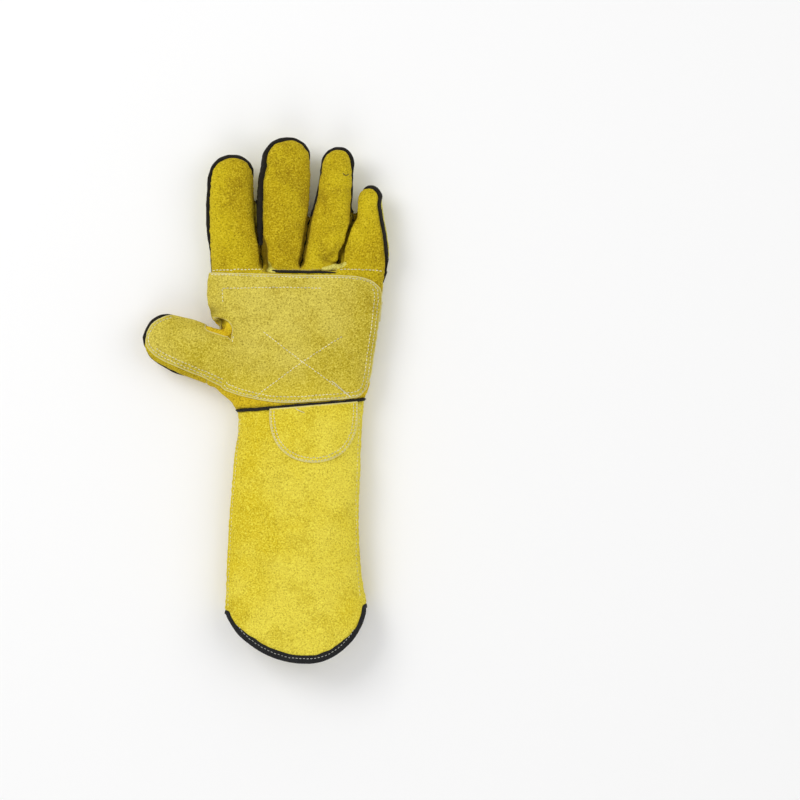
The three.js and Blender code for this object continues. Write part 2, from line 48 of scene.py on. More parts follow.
# Sizes in millimetres
HAND_LENGTH = 99
HAND_WIDTH = 138
PALM_DEPTH = 19
BACK_DEPTH = 17
CUFF_LENGTH = 200
CUFF_WIDTH = 112
CUFF_PALM_DEPTH = 23
CUFF_BACK_DEPTH = 19
REST_DEPTH = 14
FLOOR = -15.78
LEATHER = 2.0
PATCH_LOW = 0.15
PATCH_HIGH = 1.7
WELT_SLOT = 0.8
SEAM_SLOT = 0.12
WELT_HALF = 0.75
WELT_PROUD = 0.2
LOW_WELT = 0.7  # how proud the piping stands across the palm and the wrist
HEM_DROP = 39
HEM_DROP_BACK = 20
BINDING_WIDTH = 5.6
BINDING_CORNER = 2.6
BINDING_HIGH = 1.4
BINDING_LOW = 3.4
VOXEL = 1.3
REST_SOFTNESS = 1.6  # how gently the leather meets the floor
SECTION_PITCH = 1.5
CUT_GAP = 0.2  # kept free at seams without piping
LAID_GAP = 0.3  # kept free round what is laid on the leather
HEM_INSET = 1.2
THUMB_HALF = 22.5
CROTCH_BLEND = 1.5
VALLEY_WIDTH = 1.4  # of the shaded valleys between fingers
VALLEY_DEPTH = 1.5
NOTCH = (224, 325, 10)  # photo pixel and radius in mm of the thumb crotch, which has no stitches
BORDER_ROWS = (1.4, 4.2)  # stitch rows of the palm patch, inwards from its border
BORDER_TOP = 0.86  # share of the hand up to which the inner row runs
MOON_ROWS = (1.1, 3.4)
STRAP_ROW = 1.8
HEM_ROW = 3.4
STITCH_STEP = 2.2  # a stitch whose ends differ more in height is left out
RAY_START = 0.2  # metres over or under the frame's origin
PHOTO_SIZE = 800
CAMERA_HEIGHT = 2.2  # metres over the floor
FOCUS_HEIGHT = 0.02

# Digits: base in shares of the hand's width and length, lean, bow and rise in shares of the digit's length,
# roll and heading in degrees. Sections: along, wide and deep, in shares of the length, the width and the depth.
# After a last fit to the photograph, their edges are up to 2.4 mm from those of the solids
DIGITS = {
    "index": dict(
        base=(-0.352, 1), lean=-0.035, bow=-0.022, rise=0.07, roll=8, heading=0, length=86.5, width=38,
        depth=13, sections=[(-0.2, 0.99, 0.86), (0, 1.03, 0.97), (0.22, 0.995, 1), (0.53, 0.95, 0.98),
                            (0.77, 0.89, 0.9)]),
    "middle": dict(
        base=(-0.0988, 1), lean=0.045, bow=-0.01, rise=0.08, roll=12, heading=0, length=99.5, width=37.5,
        depth=13.5, sections=[(-0.2, 0.77, 0.82), (0, 0.8, 0.92), (0.18, 0.9, 0.96), (0.46, 1.03, 1),
                              (0.68, 1.05, 0.98), (0.8, 0.96, 0.9)]),
    "ring": dict(
        base=(0.0964, 1), lean=0.176, bow=0.035, rise=0.07, roll=-10, heading=0, length=92.5, width=30.6,
        depth=12.5, sections=[(-0.2, 0.925, 0.86), (0, 0.945, 0.96), (0.2, 0.995, 1), (0.38, 1.05, 1),
                              (0.57, 0.91, 1), (0.85, 0.76, 0.88)]),
    "little": dict(
        base=(0.3384, 1), lean=0.101, bow=0.04, rise=0.06, roll=-16, heading=0, length=63.5, width=35,
        depth=12, sections=[(-0.25, 1.02, 0.9), (0, 1.06, 1), (0.24, 1.05, 1), (0.4, 0.93, 1),
                            (0.58, 0.72, 0.96), (0.8, 0.55, 0.86)]),
    "thumb": dict(
        base=(-0.304, 0.232), lean=0, bow=0, rise=0.04, roll=0, heading=69, length=80.5, width=42, depth=14,
        sections=[(-0.1, 0.92, 0.9), (0.2, 1, 1.02), (0.45, 1, 1.05), (0.62, 1, 1), (0.74, 0.93, 0.94)]),
}
FINGERS = ["index", "middle", "ring", "little"]
ROLL_FULL = 0.4
RING_POWER = 2.3
CAP_FULLNESS = 0.85

# Sections of the cuff and hand: along, left, right, palm, back, in shares of the named sizes. The sides of
# the cuff are up to 1.6 mm from those of the solids
CUFF_SECTIONS = [
    (-1.06, -0.53, 0.495, 1, 1), (-0.8, -0.512, 0.46, 1, 1), (-0.64, -0.506, 0.418, 1, 1),
    (-0.48, -0.49, 0.402, 0.97, 1), (-0.28, -0.462, 0.412, 0.92, 0.97), (-0.07, -0.424, 0.43, 0.82, 0.93)]
HAND_SECTIONS = [
    (0.0, -0.395, 0.358, 0.98, 0.97), (0.06, -0.45, 0.378, 0.96, 0.97), (0.13, -0.475, 0.39, 0.94, 0.97),
    (0.33, -0.41, 0.403, 0.94, 1), (0.5, -0.41, 0.426, 0.98, 1), (0.61, -0.484, 0.437, 1, 1),
    (0.69, -0.503, 0.444, 1, 1), (0.85, -0.508, 0.462, 0.93, 0.96), (0.96, -0.502, 0.468, 0.84, 0.9),
    (1.01, -0.48, 0.45, 0.72, 0.78), (1.04, -0.42, 0.4, 0.4, 0.45)]

# Where each digit's seam runs and how far its piping stands out, in millimetres, on its lower-x and higher-x
# side: shift is towards the palm, apart is the share of the digit where it starts, proud is over the leather,
# wide is half the piping's width, fade is where it sets in, crown is how far round the tip it stays proud
SEAMS = {
    "index": dict(shift=(0.6, -4.0), apart=(0.0, 0.1), proud=(2.0, 0.2), tip=2.1, wide=(0.85, 0.7),
                  fade=(0.16, 0.36), crown=-2.0),
    # The middle's lower-x piping is wider than the real piping so that it also stands for the finger's shaded
    # side: partly piping, partly painted shade
    "middle": dict(shift=(3.6, -4.0), apart=(0.1, 0.24), proud=(2.0, 0.2), tip=2.3, wide=(2.0, 0.7),
                   fade=(-0.03, 0.04), crown=-2.0),
    # Along its side, the ring's lower-x piping stands where the finger's side lies in shade: painted shade
    "ring": dict(shift=(0.8, -1.6), apart=(0.24, 0.36), proud=(0.9, 0.2), tip=2.0, wide=(1.3, 1.05),
                 fade=(0.0, 0.1), crown=-0.5),
    "little": dict(shift=(-4.0, 4.8), apart=(0.5, 0.0), proud=(0.2, 0.9), tip=1.9, wide=(1.1, 1.0),
                   fade=(-0.14, 0.0), crown=-0.2),
    "thumb": dict(shift=(-3.6, 1.6), apart=(0.1, 0.1), proud=(0.9, 0.7), tip=2.2, wide=(0.8, 0.8),
                  fade=(0.5, 0.62), crown=-0.3),
}

# Plan outlines in shares of the hand's width and length
PATCH_PALM = [
    (-0.7, 0.99), (-0.52, 0.985), (-0.3, 0.97), (0, 0.955), (0.27, 0.955), (0.38, 0.935), (0.432, 0.88),
    (0.447, 0.82), (0.432, 0.63), (0.42, 0.49), (0.4, 0.33), (0.385, 0.15), (0.355, 0.04), (0.294, 0.012),
    (0.067, -0.01), (-0.022, -0.02), (-0.127, -0.018), (-0.227, 0.004), (-0.333, 0.042), (-0.454, 0.104),
    (-0.4, 0.3), (-0.376, 0.49), (-0.368, 0.56), (-0.388, 0.61), (-0.436, 0.628), (-0.5, 0.64), (-0.7, 0.65)]
PATCH_THUMB = [
    (0.7, 0.42), (0.7, 0.7), (0.5, 0.79), (0.39, 0.87), (0.28, 0.935), (0.14, 0.975), (-0.02, 0.985),
    (-0.18, 0.96), (-0.29, 0.89), (-0.345, 0.78), (-0.365, 0.6), (-0.38, 0.42), (-0.39, 0.2), (-0.43, 0.0),
    (0.3, 0.0), (0.46, 0.32)]
CROTCH_TAB = [
    (-0.525, 0.575), (-0.48, 0.566), (-0.43, 0.543), (-0.41, 0.55), (-0.412, 0.59), (-0.395, 0.607),
    (-0.376, 0.577), (-0.374, 0.53), (-0.392, 0.492), (-0.42, 0.485), (-0.47, 0.515), (-0.52, 0.54)]
STRAP = [
    (0.55, 0.7), (0.43, 0.77), (0.355, 0.82), (0.288, 0.87), (0.122, 0.9), (-0.017, 0.94), (-0.122, 0.962),
    (-0.31, 0.972), (-0.6, 0.965), (-0.6, 0.73), (-0.438, 0.74), (-0.283, 0.752), (-0.089, 0.735),
    (0.006, 0.71), (0.1, 0.68), (0.2, 0.655), (0.355, 0.625), (0.55, 0.585)]
WRIST_BACK = [
    (0.7, 0.13), (0.38, 0.155), (0.25, 0.21), (0.1, 0.245), (-0.05, 0.26), (-0.2, 0.258), (-0.33, 0.245),
    (-0.38, 0.2), (-0.4, 0.08), (-0.42, -0.3)]
BACK_BORDER = [
    (-0.46, 0.95), (-0.45, 0.66), (-0.42, 0.5), (-0.39, 0.37), (-0.36, 0.23), (-0.34, 0.1), (-0.34, -0.3)]
# Seams across the hand: place in shares of its length, and slope
STRAP_SEAM = (0.8, -0.13)
WRIST_SEAM = (-0.042, 0.085)

# Cuff patch and hem in shares of the cuff's width and length
CUFF_PATCH = dict(centre=0.097, half=0.3, drop=0.237, roundness=0.6)
HEM = dict(lowest=0.075, left=-0.495, right=0.445, slope=0.045, roundness_left=1.45, roundness_right=1.15)

# Where piping starts, in shares of the hand's length, and where the thumb's panels and piping part, in shares
# of the thumb's length
INDEX_TAIL = 0.77
LITTLE_TAIL = 0.91
FINGER_TAIL = 0.985
THUMB_SPLIT = 0.3
THUMB_CREASE = 0.42
THUMB_WELT_START = 0.5

# Creases pressed into the leather: both ends in photo pixels of the palm view, depth and width in
# millimetres, and how much shade is painted into them
PALM_CREASES = [
    (351, 219, 341, 268, 1.6, 1.3, 1.25), (258, 228, 268, 271, 2.0, 2.2, 1.4),
    (325, 262, 340, 263, 1.6, 1.3, 0.8), (337, 264, 343, 247, 1.4, 1.4, 0.4),
    (324, 266, 338, 247, 2.2, 3.0, 0.4), (318, 262, 326, 238, 1.2, 3.5, 0.4),
    (318, 174, 350, 168, 1.0, 2.5, 0.4), (268, 262, 262, 236, 1.4, 3.5, 0.4),
    (262, 214, 303, 220, 0.6, 5.0, 0.4), (212, 222, 250, 216, 0.5, 5.0, 0.4),
    (262, 250, 300, 246, 0.7, 4.5, 0.4), (318, 214, 344, 208, 0.6, 4.5, 0.4),
    (352, 240, 384, 232, 0.7, 4.0, 0.4), (228, 336, 262, 350, 1.3, 4.0, 0.4),
    (230, 329, 262, 322, 1.1, 4.0, 0.4), (232, 340, 244, 372, 1.2, 5.0, 0.4),
    (206, 309, 229, 314, 1.4, 3.5, 0.4), (322, 196, 328, 240, 1.3, 3.5, 0.4),
    (344, 180, 352, 196, 0.8, 2.0, 0.4), (270, 240, 276, 262, 0.8, 3.0, 0.4),
    (292, 236, 298, 262, 0.7, 3.0, 0.4), (352, 200, 358, 232, 0.8, 3.0, 0.4),
    (210, 350, 200, 376, 0.7, 5.0, 0.4), (186, 322, 178, 346, 0.5, 5.0, 0.4),
    (256, 300, 330, 318, 0.6, 8.0, 0.4), (340, 300, 352, 350, 0.7, 8.0, 0.4),
    (240, 470, 300, 520, 0.9, 12.0, 0.4), (300, 500, 356, 470, 0.8, 11.0, 0.4),
    (236, 560, 320, 600, 0.9, 13.0, 0.4), (300, 560, 356, 590, 0.8, 11.0, 0.4),
    (242, 430, 262, 470, 0.9, 7.0, 0.4), (348, 440, 340, 480, 0.7, 7.0, 0.4),
]
BACK_CREASES = [
    (330, 240, 352, 264, 2.2, 3.0, 0.4), (342, 228, 348, 262, 1.6, 2.8, 0.4),
    (318, 226, 336, 262, 1.4, 3.0, 0.4), (300, 244, 318, 264, 1.6, 3.2, 0.4),
    (286, 258, 330, 268, 1.2, 3.2, 0.4), (340, 270, 376, 276, 1.5, 3.4, 0.4),
    (358, 226, 376, 262, 1.6, 3.2, 0.4), (270, 236, 262, 262, 1.4, 3.0, 0.4),
    (252, 250, 266, 264, 1.3, 3.0, 0.4), (330, 190, 350, 196, 0.7, 4.0, 0.4),
    (262, 226, 300, 232, 0.7, 5.0, 0.4), (212, 226, 250, 230, 0.6, 5.0, 0.4),
    (214, 320, 300, 330, 0.5, 8.0, 0.4), (250, 430, 340, 446, 0.6, 10.0, 0.4),
    (240, 540, 320, 520, 0.6, 12.0, 0.4),
]

# Small gussets set in at the finger crotches, in photo pixels
GUSSETS = [
    [(266, 260), (270, 262), (272, 268), (277, 271), (276, 274), (270, 273.5), (266.5, 269)],
    [(322, 268), (330, 266.5), (337, 264.5), (339, 267.5), (332, 270.5), (322, 271.5)],
    [(336, 266), (341, 264), (346, 262), (348, 264.5), (343, 268.5), (337, 270)],
]

# Hollows pressed into the palm side: photo pixel, radius and depth in mm, how much shade is painted into them
HOLLOWS = [
    (219, 322.5, 5.5, 4.5, 1.0), (212, 312, 7.5, 1.8, 0.6), (268, 266, 4.0, 2.0, 0.8),
    (332, 260, 5.0, 1.6, 0.35), (322, 258, 6.0, 1.2, 0.5), (330, 230, 9.0, 0.8, 0.3),
    (284, 246, 9.0, 0.6, 0.3), (244, 352, 9.0, 0.8, 0.25),
]

RANDOM = random.Random(7)


def from_photo(x, y):
    """Glove coordinates of a pixel of the palm view."""
    return (x - PHOTO_WRIST[0]) * PIXEL, (PHOTO_WRIST[1] - y) * PIXEL


def photo_line(*pixels):
    return np.array([from_photo(*p) for p in pixels])


def smooth(knots, values, at):
    """A smooth curve through values at knots that never swings past them."""
    knots = np.asarray(knots, float)
    values = np.asarray(values, float)
    steps = np.diff(values, axis=0) / np.diff(knots)
    before, after = steps[:-1], steps[1:]
    total = np.where(before * after > 0, before + after, 1)
    inner = np.where(before * after > 0, 2 * before * after / total, 0)
    slopes = np.concatenate([steps[:1], inner, steps[-1:]])
    at = np.clip(at, knots[0], knots[-1])
    i = np.clip(np.searchsorted(knots, at) - 1, 0, len(knots) - 2)
    width = knots[i + 1] - knots[i]
    t = (at - knots[i]) / width
    return ((2 * t**3 - 3 * t**2 + 1) * values[i] + (t**3 - 2 * t**2 + t) * width * slopes[i]
            + (3 * t**2 - 2 * t**3) * values[i + 1] + (t**3 - t**2) * width * slopes[i + 1])


def unit(vectors):
    return vectors / np.maximum(np.linalg.norm(vectors, axis=1, keepdims=True), 1e-9)


def step(value, low, high):
    t = np.clip((value - low) / (high - low), 0, 1)
    return t * t * (3 - 2 * t)


def drift(digit, along):
    share = np.clip(along / digit["length"], 0, 1)
    return digit["lean"] * along + digit["bow"] * digit["length"] * np.sin(np.pi * share)


def turn(digit, along):
    share = np.maximum(0, along / digit["length"])
    return np.radians(digit["roll"]) * step(share, 0, ROLL_FULL)


def lift(digit, along):
    return digit["rise"] * digit["length"] * np.maximum(0, along / digit["length"]) ** 2


def place(digit, across, along, height):
    """Glove coordinates of a point in a digit's own straight frame."""
    angle = turn(digit, along)
    x = across * np.cos(angle) + height * np.sin(angle) + drift(digit, along)
    z = -across * np.sin(angle) + height * np.cos(angle) + lift(digit, along)
    heading = math.radians(digit["heading"])
    base_x = digit["base"][0] * HAND_WIDTH
    base_y = digit["base"][1] * HAND_LENGTH
    return np.stack([
        base_x + x * math.cos(heading) - along * math.sin(heading),
        base_y + x * math.sin(heading) + along * math.cos(heading), z], axis=-1)


def unplace(digit, points):
    """Across, along and height in a digit's own straight frame."""
    heading = math.radians(digit["heading"])
    x = points[:, 0] - digit["base"][0] * HAND_WIDTH
    y = points[:, 1] - digit["base"][1] * HAND_LENGTH
    along = -x * math.sin(heading) + y * math.cos(heading)
    x = x * math.cos(heading) + y * math.sin(heading) - drift(digit, along)
    z = points[:, 2] - lift(digit, along)
    angle = turn(digit, along)
    return x * np.cos(angle) - z * np.sin(angle), along, x * np.sin(angle) + z * np.cos(angle)


def bend(value):
    return np.sign(value) * np.abs(value) ** (2 / RING_POWER)


def flat_ring(left, right, up, down, sides):
    angle = np.linspace(0, 2 * np.pi, sides, endpoint=False)
    height = bend(np.sin(angle))
    across = (left + right) / 2 + bend(np.cos(angle)) * (right - left) / 2
    return across, height * np.where(height > 0, up, down)


def tube_mesh(rings):
    sides = len(rings[0])
    verts = np.vstack(rings)
    faces = []
    for r in range(len(rings) - 1):
        for s in range(sides):
            a, b = r * sides + s, r * sides + (s + 1) % sides
            faces.append((a, b, b + sides, a + sides))
    faces.append(tuple(range(sides))[::-1])
    faces.append(tuple(range((len(rings) - 1) * sides, len(rings) * sides)))
    return verts, faces


def body_mesh():
    rows = [(a * CUFF_LENGTH, l * CUFF_WIDTH, r * CUFF_WIDTH, p * CUFF_PALM_DEPTH, b * CUFF_BACK_DEPTH)
            for a, l, r, p, b in CUFF_SECTIONS]
    rows += [(a * HAND_LENGTH, l * HAND_WIDTH, r * HAND_WIDTH, p * PALM_DEPTH, b * BACK_DEPTH)
             for a, l, r, p, b in HAND_SECTIONS]
    rows = np.array(rows)
    rings = []
    for y in np.arange(rows[0, 0], rows[-1, 0] + 0.01, SECTION_PITCH):
        left, right, up, down = (float(smooth(rows[:, 0], rows[:, k], y)) for k in (1, 2, 3, 4))
        x, z = flat_ring(left, right, up, down, 96)
        rings.append(np.stack([x, np.full_like(x, y), z], axis=-1))
    return tube_mesh(rings)


def digit_mesh(digit):
    length = digit["length"]
    knots, wide, deep = (np.array(column, float) for column in zip(*digit["sections"]))
    rows = []
    for share in np.linspace(knots[0], knots[-1], 40):
        rows.append((share * length, float(smooth(knots, wide, share)) * digit["width"] / 2,
                     float(smooth(knots, deep, share)) * digit["depth"]))
    last = rows[-1]
    for degrees in range(5, 90, 5):
        angle = math.radians(degrees)
        share = math.cos(angle) ** CAP_FULLNESS
        rows.append((last[0] + (length - last[0]) * math.sin(angle), last[1] * share, last[2] * share))
    rings = []
    for along, half, depth in rows:
        x, z = flat_ring(-half, half, depth, depth, 56)
        rings.append(place(digit, x, np.full_like(x, along), z))
    return tube_mesh(rings)


def in_scene(name, data):
    obj = bpy.data.objects.new(name, data)
    bpy.context.scene.collection.objects.link(obj)
    return obj


def new_object(name, verts, faces):
    mesh = bpy.data.meshes.new(name)
    mesh.from_pydata([tuple(v) for v in verts], [], [tuple(f) for f in faces])
    mesh.update()
    return in_scene(name, mesh)


def whole_surface():
    """The leather's outer surface as one smooth skin: points, triangles and normals in millimetres."""
    verts, faces = [], []
    for part_verts, part_faces in [body_mesh()] + [digit_mesh(d) for d in DIGITS.values()]:
        start = sum(len(v) for v in verts)
        verts.append(part_verts)
        faces += [tuple(i + start for i in f) for f in part_faces]
    rough = new_object("rough", np.vstack(verts), faces)
    remesh = rough.modifiers.new("skin", "REMESH")
    remesh.mode = "VOXEL"
    remesh.voxel_size = VOXEL
    soften = rough.modifiers.new("soften", "SMOOTH")
    soften.factor = 0.5
    soften.iterations = 9
    skin = bpy.data.meshes.new_from_object(rough.evaluated_get(bpy.context.evaluated_depsgraph_get()))
    bpy.data.objects.remove(rough)
    skin.calc_loop_triangles()
    points = np.zeros(len(skin.vertices) * 3, np.float32)
    skin.vertices.foreach_get("co", points)
    triangles = np.zeros(len(skin.loop_triangles) * 3, np.int32)
    skin.loop_triangles.foreach_get("vertices", triangles)
    points = points.reshape(-1, 3).astype(float)
    bpy.data.meshes.remove(skin)
    # The leather lies flat where it rests
    under = (points[:, 2] + REST_DEPTH) / REST_SOFTNESS
    points[:, 2] = -REST_DEPTH + REST_SOFTNESS * np.logaddexp(under * 2, 0) / 2
    triangles = triangles.reshape(-1, 3)
    return points, triangles, vertex_normals(points, triangles)


def vertex_normals(points, triangles):
    a, b, c = (points[triangles[:, k]] for k in range(3))
    face = np.cross(b - a, c - a)
    normals = np.zeros_like(points)
    for k in range(3):
        np.add.at(normals, triangles[:, k], face)
    return unit(normals)


def chaikin(points, rounds=2):
    points = np.asarray(points, float)
    for _ in range(rounds):
        after = np.roll(points, -1, axis=0)
        points = np.stack([0.75 * points + 0.25 * after, 0.25 * points + 0.75 * after], axis=1).reshape(-1, 2)
    return points


def inside_distance(x, y, outline):
    """Distance to a closed outline, above 0 inside it."""
    outline = np.asarray(outline, float)
    nearest = np.full(len(x), 1e9)
    inside = np.zeros(len(x), bool)
    for a, b in zip(outline, np.roll(outline, -1, axis=0)):
        edge = b - a
        t = np.clip(((x - a[0]) * edge[0] + (y - a[1]) * edge[1]) / max(edge @ edge, 1e-9), 0, 1)
        nearest = np.minimum(nearest, np.hypot(x - a[0] - t * edge[0], y - a[1] - t * edge[1]))
        crosses = (a[1] > y) != (b[1] > y)
        rise = np.where(abs(edge[1]) < 1e-9, 1e-9, edge[1])
        inside ^= crosses & (x < a[0] + (y - a[1]) * edge[0] / rise)
    return np.where(inside, nearest, -nearest)


def hand_plan(rows):
    return np.array([(across * HAND_WIDTH, along * HAND_LENGTH) for across, along in rows])


def hem_arc(drop, count=96):
    """The hem seen from above, from its right end round to its left end."""
    arc = []
    for k in range(count + 1):
        angle = math.pi * k / count
        right = angle < math.pi / 2
        reach = HEM["right"] - HEM["lowest"] if right else HEM["lowest"] - HEM["left"]
        roundness = HEM["roundness_right"] if right else HEM["roundness_left"]
        x = CUFF_WIDTH * (HEM["lowest"] + reach * math.cos(angle))
        arc.append((x, HEM_DROP - CUFF_LENGTH + HEM["slope"] * x - drop * math.sin(angle) ** roundness))
    return np.array(arc)


def hem_distance(x, y, drop):
    """Distance inwards from the hem's arc."""
    arc = hem_arc(drop)
    corners = [(-400, arc[-1][1]), (-400, 900), (400, 900), (400, arc[0][1])]
    return inside_distance(x, y, np.vstack([arc, corners]))


def clip(points, triangles, column):
    """The part of a triangle mesh where this column of its points is above 0."""
    value = points[:, column].copy()
    value[np.abs(value) < 1e-3] = 1e-3
    inside = value > 0
    count = inside[triangles].sum(axis=1)
    kept = [triangles[count == 3]]
    cut = triangles[(count == 1) | (count == 2)]
    if len(cut) == 0:
        return points, kept[0]
    single = np.where(inside[cut].sum(axis=1) == 1, 1, 0)
    odd = np.argmax(inside[cut] == (single[:, None] == 1), axis=1)
    rows = np.arange(len(cut))
    a, b, c = cut[rows, odd], cut[rows, (odd + 1) % 3], cut[rows, (odd + 2) % 3]
    edges = np.sort(np.concatenate([np.stack([a, b], 1), np.stack([a, c], 1)]), axis=1)
    unique, index = np.unique(edges, axis=0, return_inverse=True)
    index = index.ravel()
    low, high = unique[:, 0], unique[:, 1]
    share = (value[low] / (value[low] - value[high]))[:, None]
    points = np.vstack([points, points[low] * (1 - share) + points[high] * share])
    new = len(value) + index
    ab, ac = new[: len(cut)], new[len(cut):]
    one = single == 1
    two = ~one
    kept.append(np.stack([a, ab, ac], 1)[one])
    kept.append(np.stack([b, c, ac], 1)[two])
    kept.append(np.stack([b, ac, ab], 1)[two])
    return points, np.vstack(kept)


def compact(points, triangles):
    used, index = np.unique(triangles, return_inverse=True)
    return points[used], index.reshape(-1, 3)


def biggest(triangles, count):
    """The largest joined part of a mesh."""
    label = np.arange(count)
    while True:
        low = label[triangles].min(axis=1)
        new = label.copy()
        for k in range(3):
            np.minimum.at(new, triangles[:, k], low)
        new = new[new]
        if (new == label).all():
            break
        label = new
    names, sizes = np.unique(label[triangles[:, 0]], return_counts=True)
    return triangles[label[triangles[:, 0]] == names[np.argmax(sizes)]]


# Columns of the skin: position, normal, press, painted shade and outer height, then the fields that bound a
# panel
PRESS = 6
SHADE_COLUMN = 7
OUTER = 8
FIELDS = 9


def leather_panel(name, fields, outer, inner, roll=(0.0, 1.0), bulge=0.45, ripple=0.0, raw=1.0):
    """A closed panel of leather cut from the skin where every field is above 0.

    outer and inner are heights over the skin, roll is how deep and how far its border turns in, bulge is how
    far its cut edge swells, and raw is how pale that edge is."""
    points = np.column_stack([SKIN, np.broadcast_to(outer, len(SKIN)), *fields])
    triangles = SKIN_TRIANGLES
    for k in range(len(fields)):
        points, triangles = clip(points, triangles, FIELDS + k)
    points, triangles = compact(points, triangles)
    triangles = biggest(triangles, len(points))
    points, triangles = compact(points, triangles)
    spot = points[:, :3]
    normal = unit(points[:, 3:6])
    border = np.maximum(points[:, FIELDS:].min(axis=1), 0)
    outer = points[:, OUTER]
    height = points[:, PRESS] - roll[0] * np.exp(-((border / roll[1]) ** 2))
    if ripple:
        height = height + ripple * np.array([noise.noise(Vector(p) * 0.22) for p in spot])
    sunk = np.maximum(-REST_DEPTH - (spot + normal * height[:, None])[:, 2], 0)
    spot = spot + np.outer(sunk, (0, 0, 1))
    top = spot + normal * (height + outer)[:, None]
    low = spot + normal * (height + inner)[:, None]
    for sheet in (top, low):
        sheet[:, 2] = np.maximum(sheet[:, 2], FLOOR)
    directed = np.concatenate([triangles[:, [0, 1]], triangles[:, [1, 2]], triangles[:, [2, 0]]])
    keys = directed[:, 0].astype(np.int64) * len(points) + directed[:, 1]
    back = directed[:, 1].astype(np.int64) * len(points) + directed[:, 0]
    rim = directed[~np.isin(keys, back)]
    away = np.zeros_like(spot)
    out = np.cross(spot[rim[:, 1]] - spot[rim[:, 0]], normal[rim[:, 0]])
    np.add.at(away, rim[:, 0], out)
    np.add.at(away, rim[:, 1], out)
    away = unit(away)
    rim_points = np.unique(rim)
    middle = (top[rim_points] + low[rim_points]) / 2 + away[rim_points] * bulge
    middle_of = np.zeros(len(points), int)
    middle_of[rim_points] = 2 * len(points) + np.arange(len(rim_points))
    i, j = rim[:, 0], rim[:, 1]
    n = len(points)
    faces = np.vstack([triangles, triangles[:, ::-1] + n])
    quads = np.vstack([np.stack([j, i, middle_of[i], middle_of[j]], 1),
                       np.stack([middle_of[j], middle_of[i], i + n, j + n], 1)])
    verts = np.vstack([top, low, middle])
    edge = raw * np.concatenate([np.exp(-border / 0.9), np.exp(-border / 0.9), np.ones(len(middle))])
    # Painted shade from the skin, which also tones down the pale raw edges where it lies
    painted_shade = np.concatenate([points[:, SHADE_COLUMN], points[:, SHADE_COLUMN], points[rim_points, SHADE_COLUMN]])
    edge *= 1 - 0.8 * painted_shade
    obj = mesh_object(name, verts, [faces, quads])
    warm = 1 - step(verts[:, 1], 2, 26)
    for label, values in (("edge", edge), ("painted_shade", painted_shade), ("warm", warm)):
        layer = obj.data.attributes.new(label, "FLOAT", "POINT")
        layer.data.foreach_set("value", values.astype(np.float32))
    return obj


def mesh_object(name, verts, face_blocks, smooth_angle=50):
    """A Blender object from points in millimetres and blocks of faces of one corner count each."""
    mesh = bpy.data.meshes.new(name)
    verts = np.array(verts, float)
    verts[:, 2] = np.maximum(verts[:, 2], FLOOR)
    verts = (verts + ORIGIN) * MM
    loops = np.concatenate([b.ravel() for b in face_blocks])
    sizes = np.concatenate([np.full(len(b), b.shape[1]) for b in face_blocks])
    mesh.vertices.add(len(verts))
    mesh.vertices.foreach_set("co", verts.astype(np.float32).ravel())
    mesh.loops.add(len(loops))
    mesh.loops.foreach_set("vertex_index", loops.astype(np.int32))
    mesh.polygons.add(len(sizes))
    mesh.polygons.foreach_set("loop_start", (np.cumsum(sizes) - sizes).astype(np.int32))
    mesh.polygons.foreach_set("use_smooth", np.ones(len(sizes), bool))
    mesh.update(calc_edges=True)
    mesh.validate()
    mesh.set_sharp_from_angle(angle=math.radians(smooth_angle))
    return in_scene(name, mesh)


def ride_as(obj, material, slot, *nodes):
    obj.data.materials.clear()
    obj.data.materials.append(material)
    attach(obj, "root")
    if nodes:
        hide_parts(*nodes)
    return obj


# Materials
def bump(tree, height, strength, distance, under=None):
    made = tree.nodes.new("ShaderNodeBump")
    made.inputs["Strength"].default_value = strength
    made.inputs["Distance"].default_value = distance
    tree.links.new(height, made.inputs["Height"])
    if under:
        tree.links.new(under, made.inputs["Normal"])
    return made.outputs[0]


def new_material(name):
    """A new material with its node tree, its shader and the coordinates that its patterns follow."""
    material = bpy.data.materials.new(name)
    material.use_nodes = True
    tree = material.node_tree
    coordinates = tree.nodes.new("ShaderNodeTexCoord")
    return material, tree, tree.nodes["Principled BSDF"], coordinates.outputs["Object"]


def attribute(tree, name):
    made = tree.nodes.new("ShaderNodeAttribute")
    made.attribute_name = name
    return made.outputs["Fac"]


def darker(colour, share):
    return tuple(c * share for c in colour[:3]) + (1,)


def mix_colour(tree, factor, first, second):
    made = tree.nodes.new("ShaderNodeMix")
    made.data_type = "RGBA"
    for socket, value in ((0, factor), (6, first), (7, second)):
        if hasattr(value, "links"):
            tree.links.new(value, made.inputs[socket])
        else:
            made.inputs[socket].default_value = value
    return made.outputs[2]


def ramp(tree, value, low, high, to_low=0.0, to_high=1.0):
    made = tree.nodes.new("ShaderNodeMapRange")
    made.interpolation_type = "SMOOTHSTEP"
    for k, number in ((1, low), (2, high), (3, to_low), (4, to_high)):
        made.inputs[k].default_value = number
    tree.links.new(value, made.inputs[0])
    return made.outputs[0]


def noise_at(tree, vector, scale, detail, rough, stretch=None):
    if stretch:
        mapping = tree.nodes.new("ShaderNodeMapping")
        mapping.inputs["Scale"].default_value = stretch
        tree.links.new(vector, mapping.inputs["Vector"])
        vector = mapping.outputs[0]
    made = tree.nodes.new("ShaderNodeTexNoise")
    made.inputs["Scale"].default_value = scale
    made.inputs["Detail"].default_value = detail
    made.inputs["Roughness"].default_value = rough
    tree.links.new(vector, made.inputs["Vector"])
    return made.outputs[0]


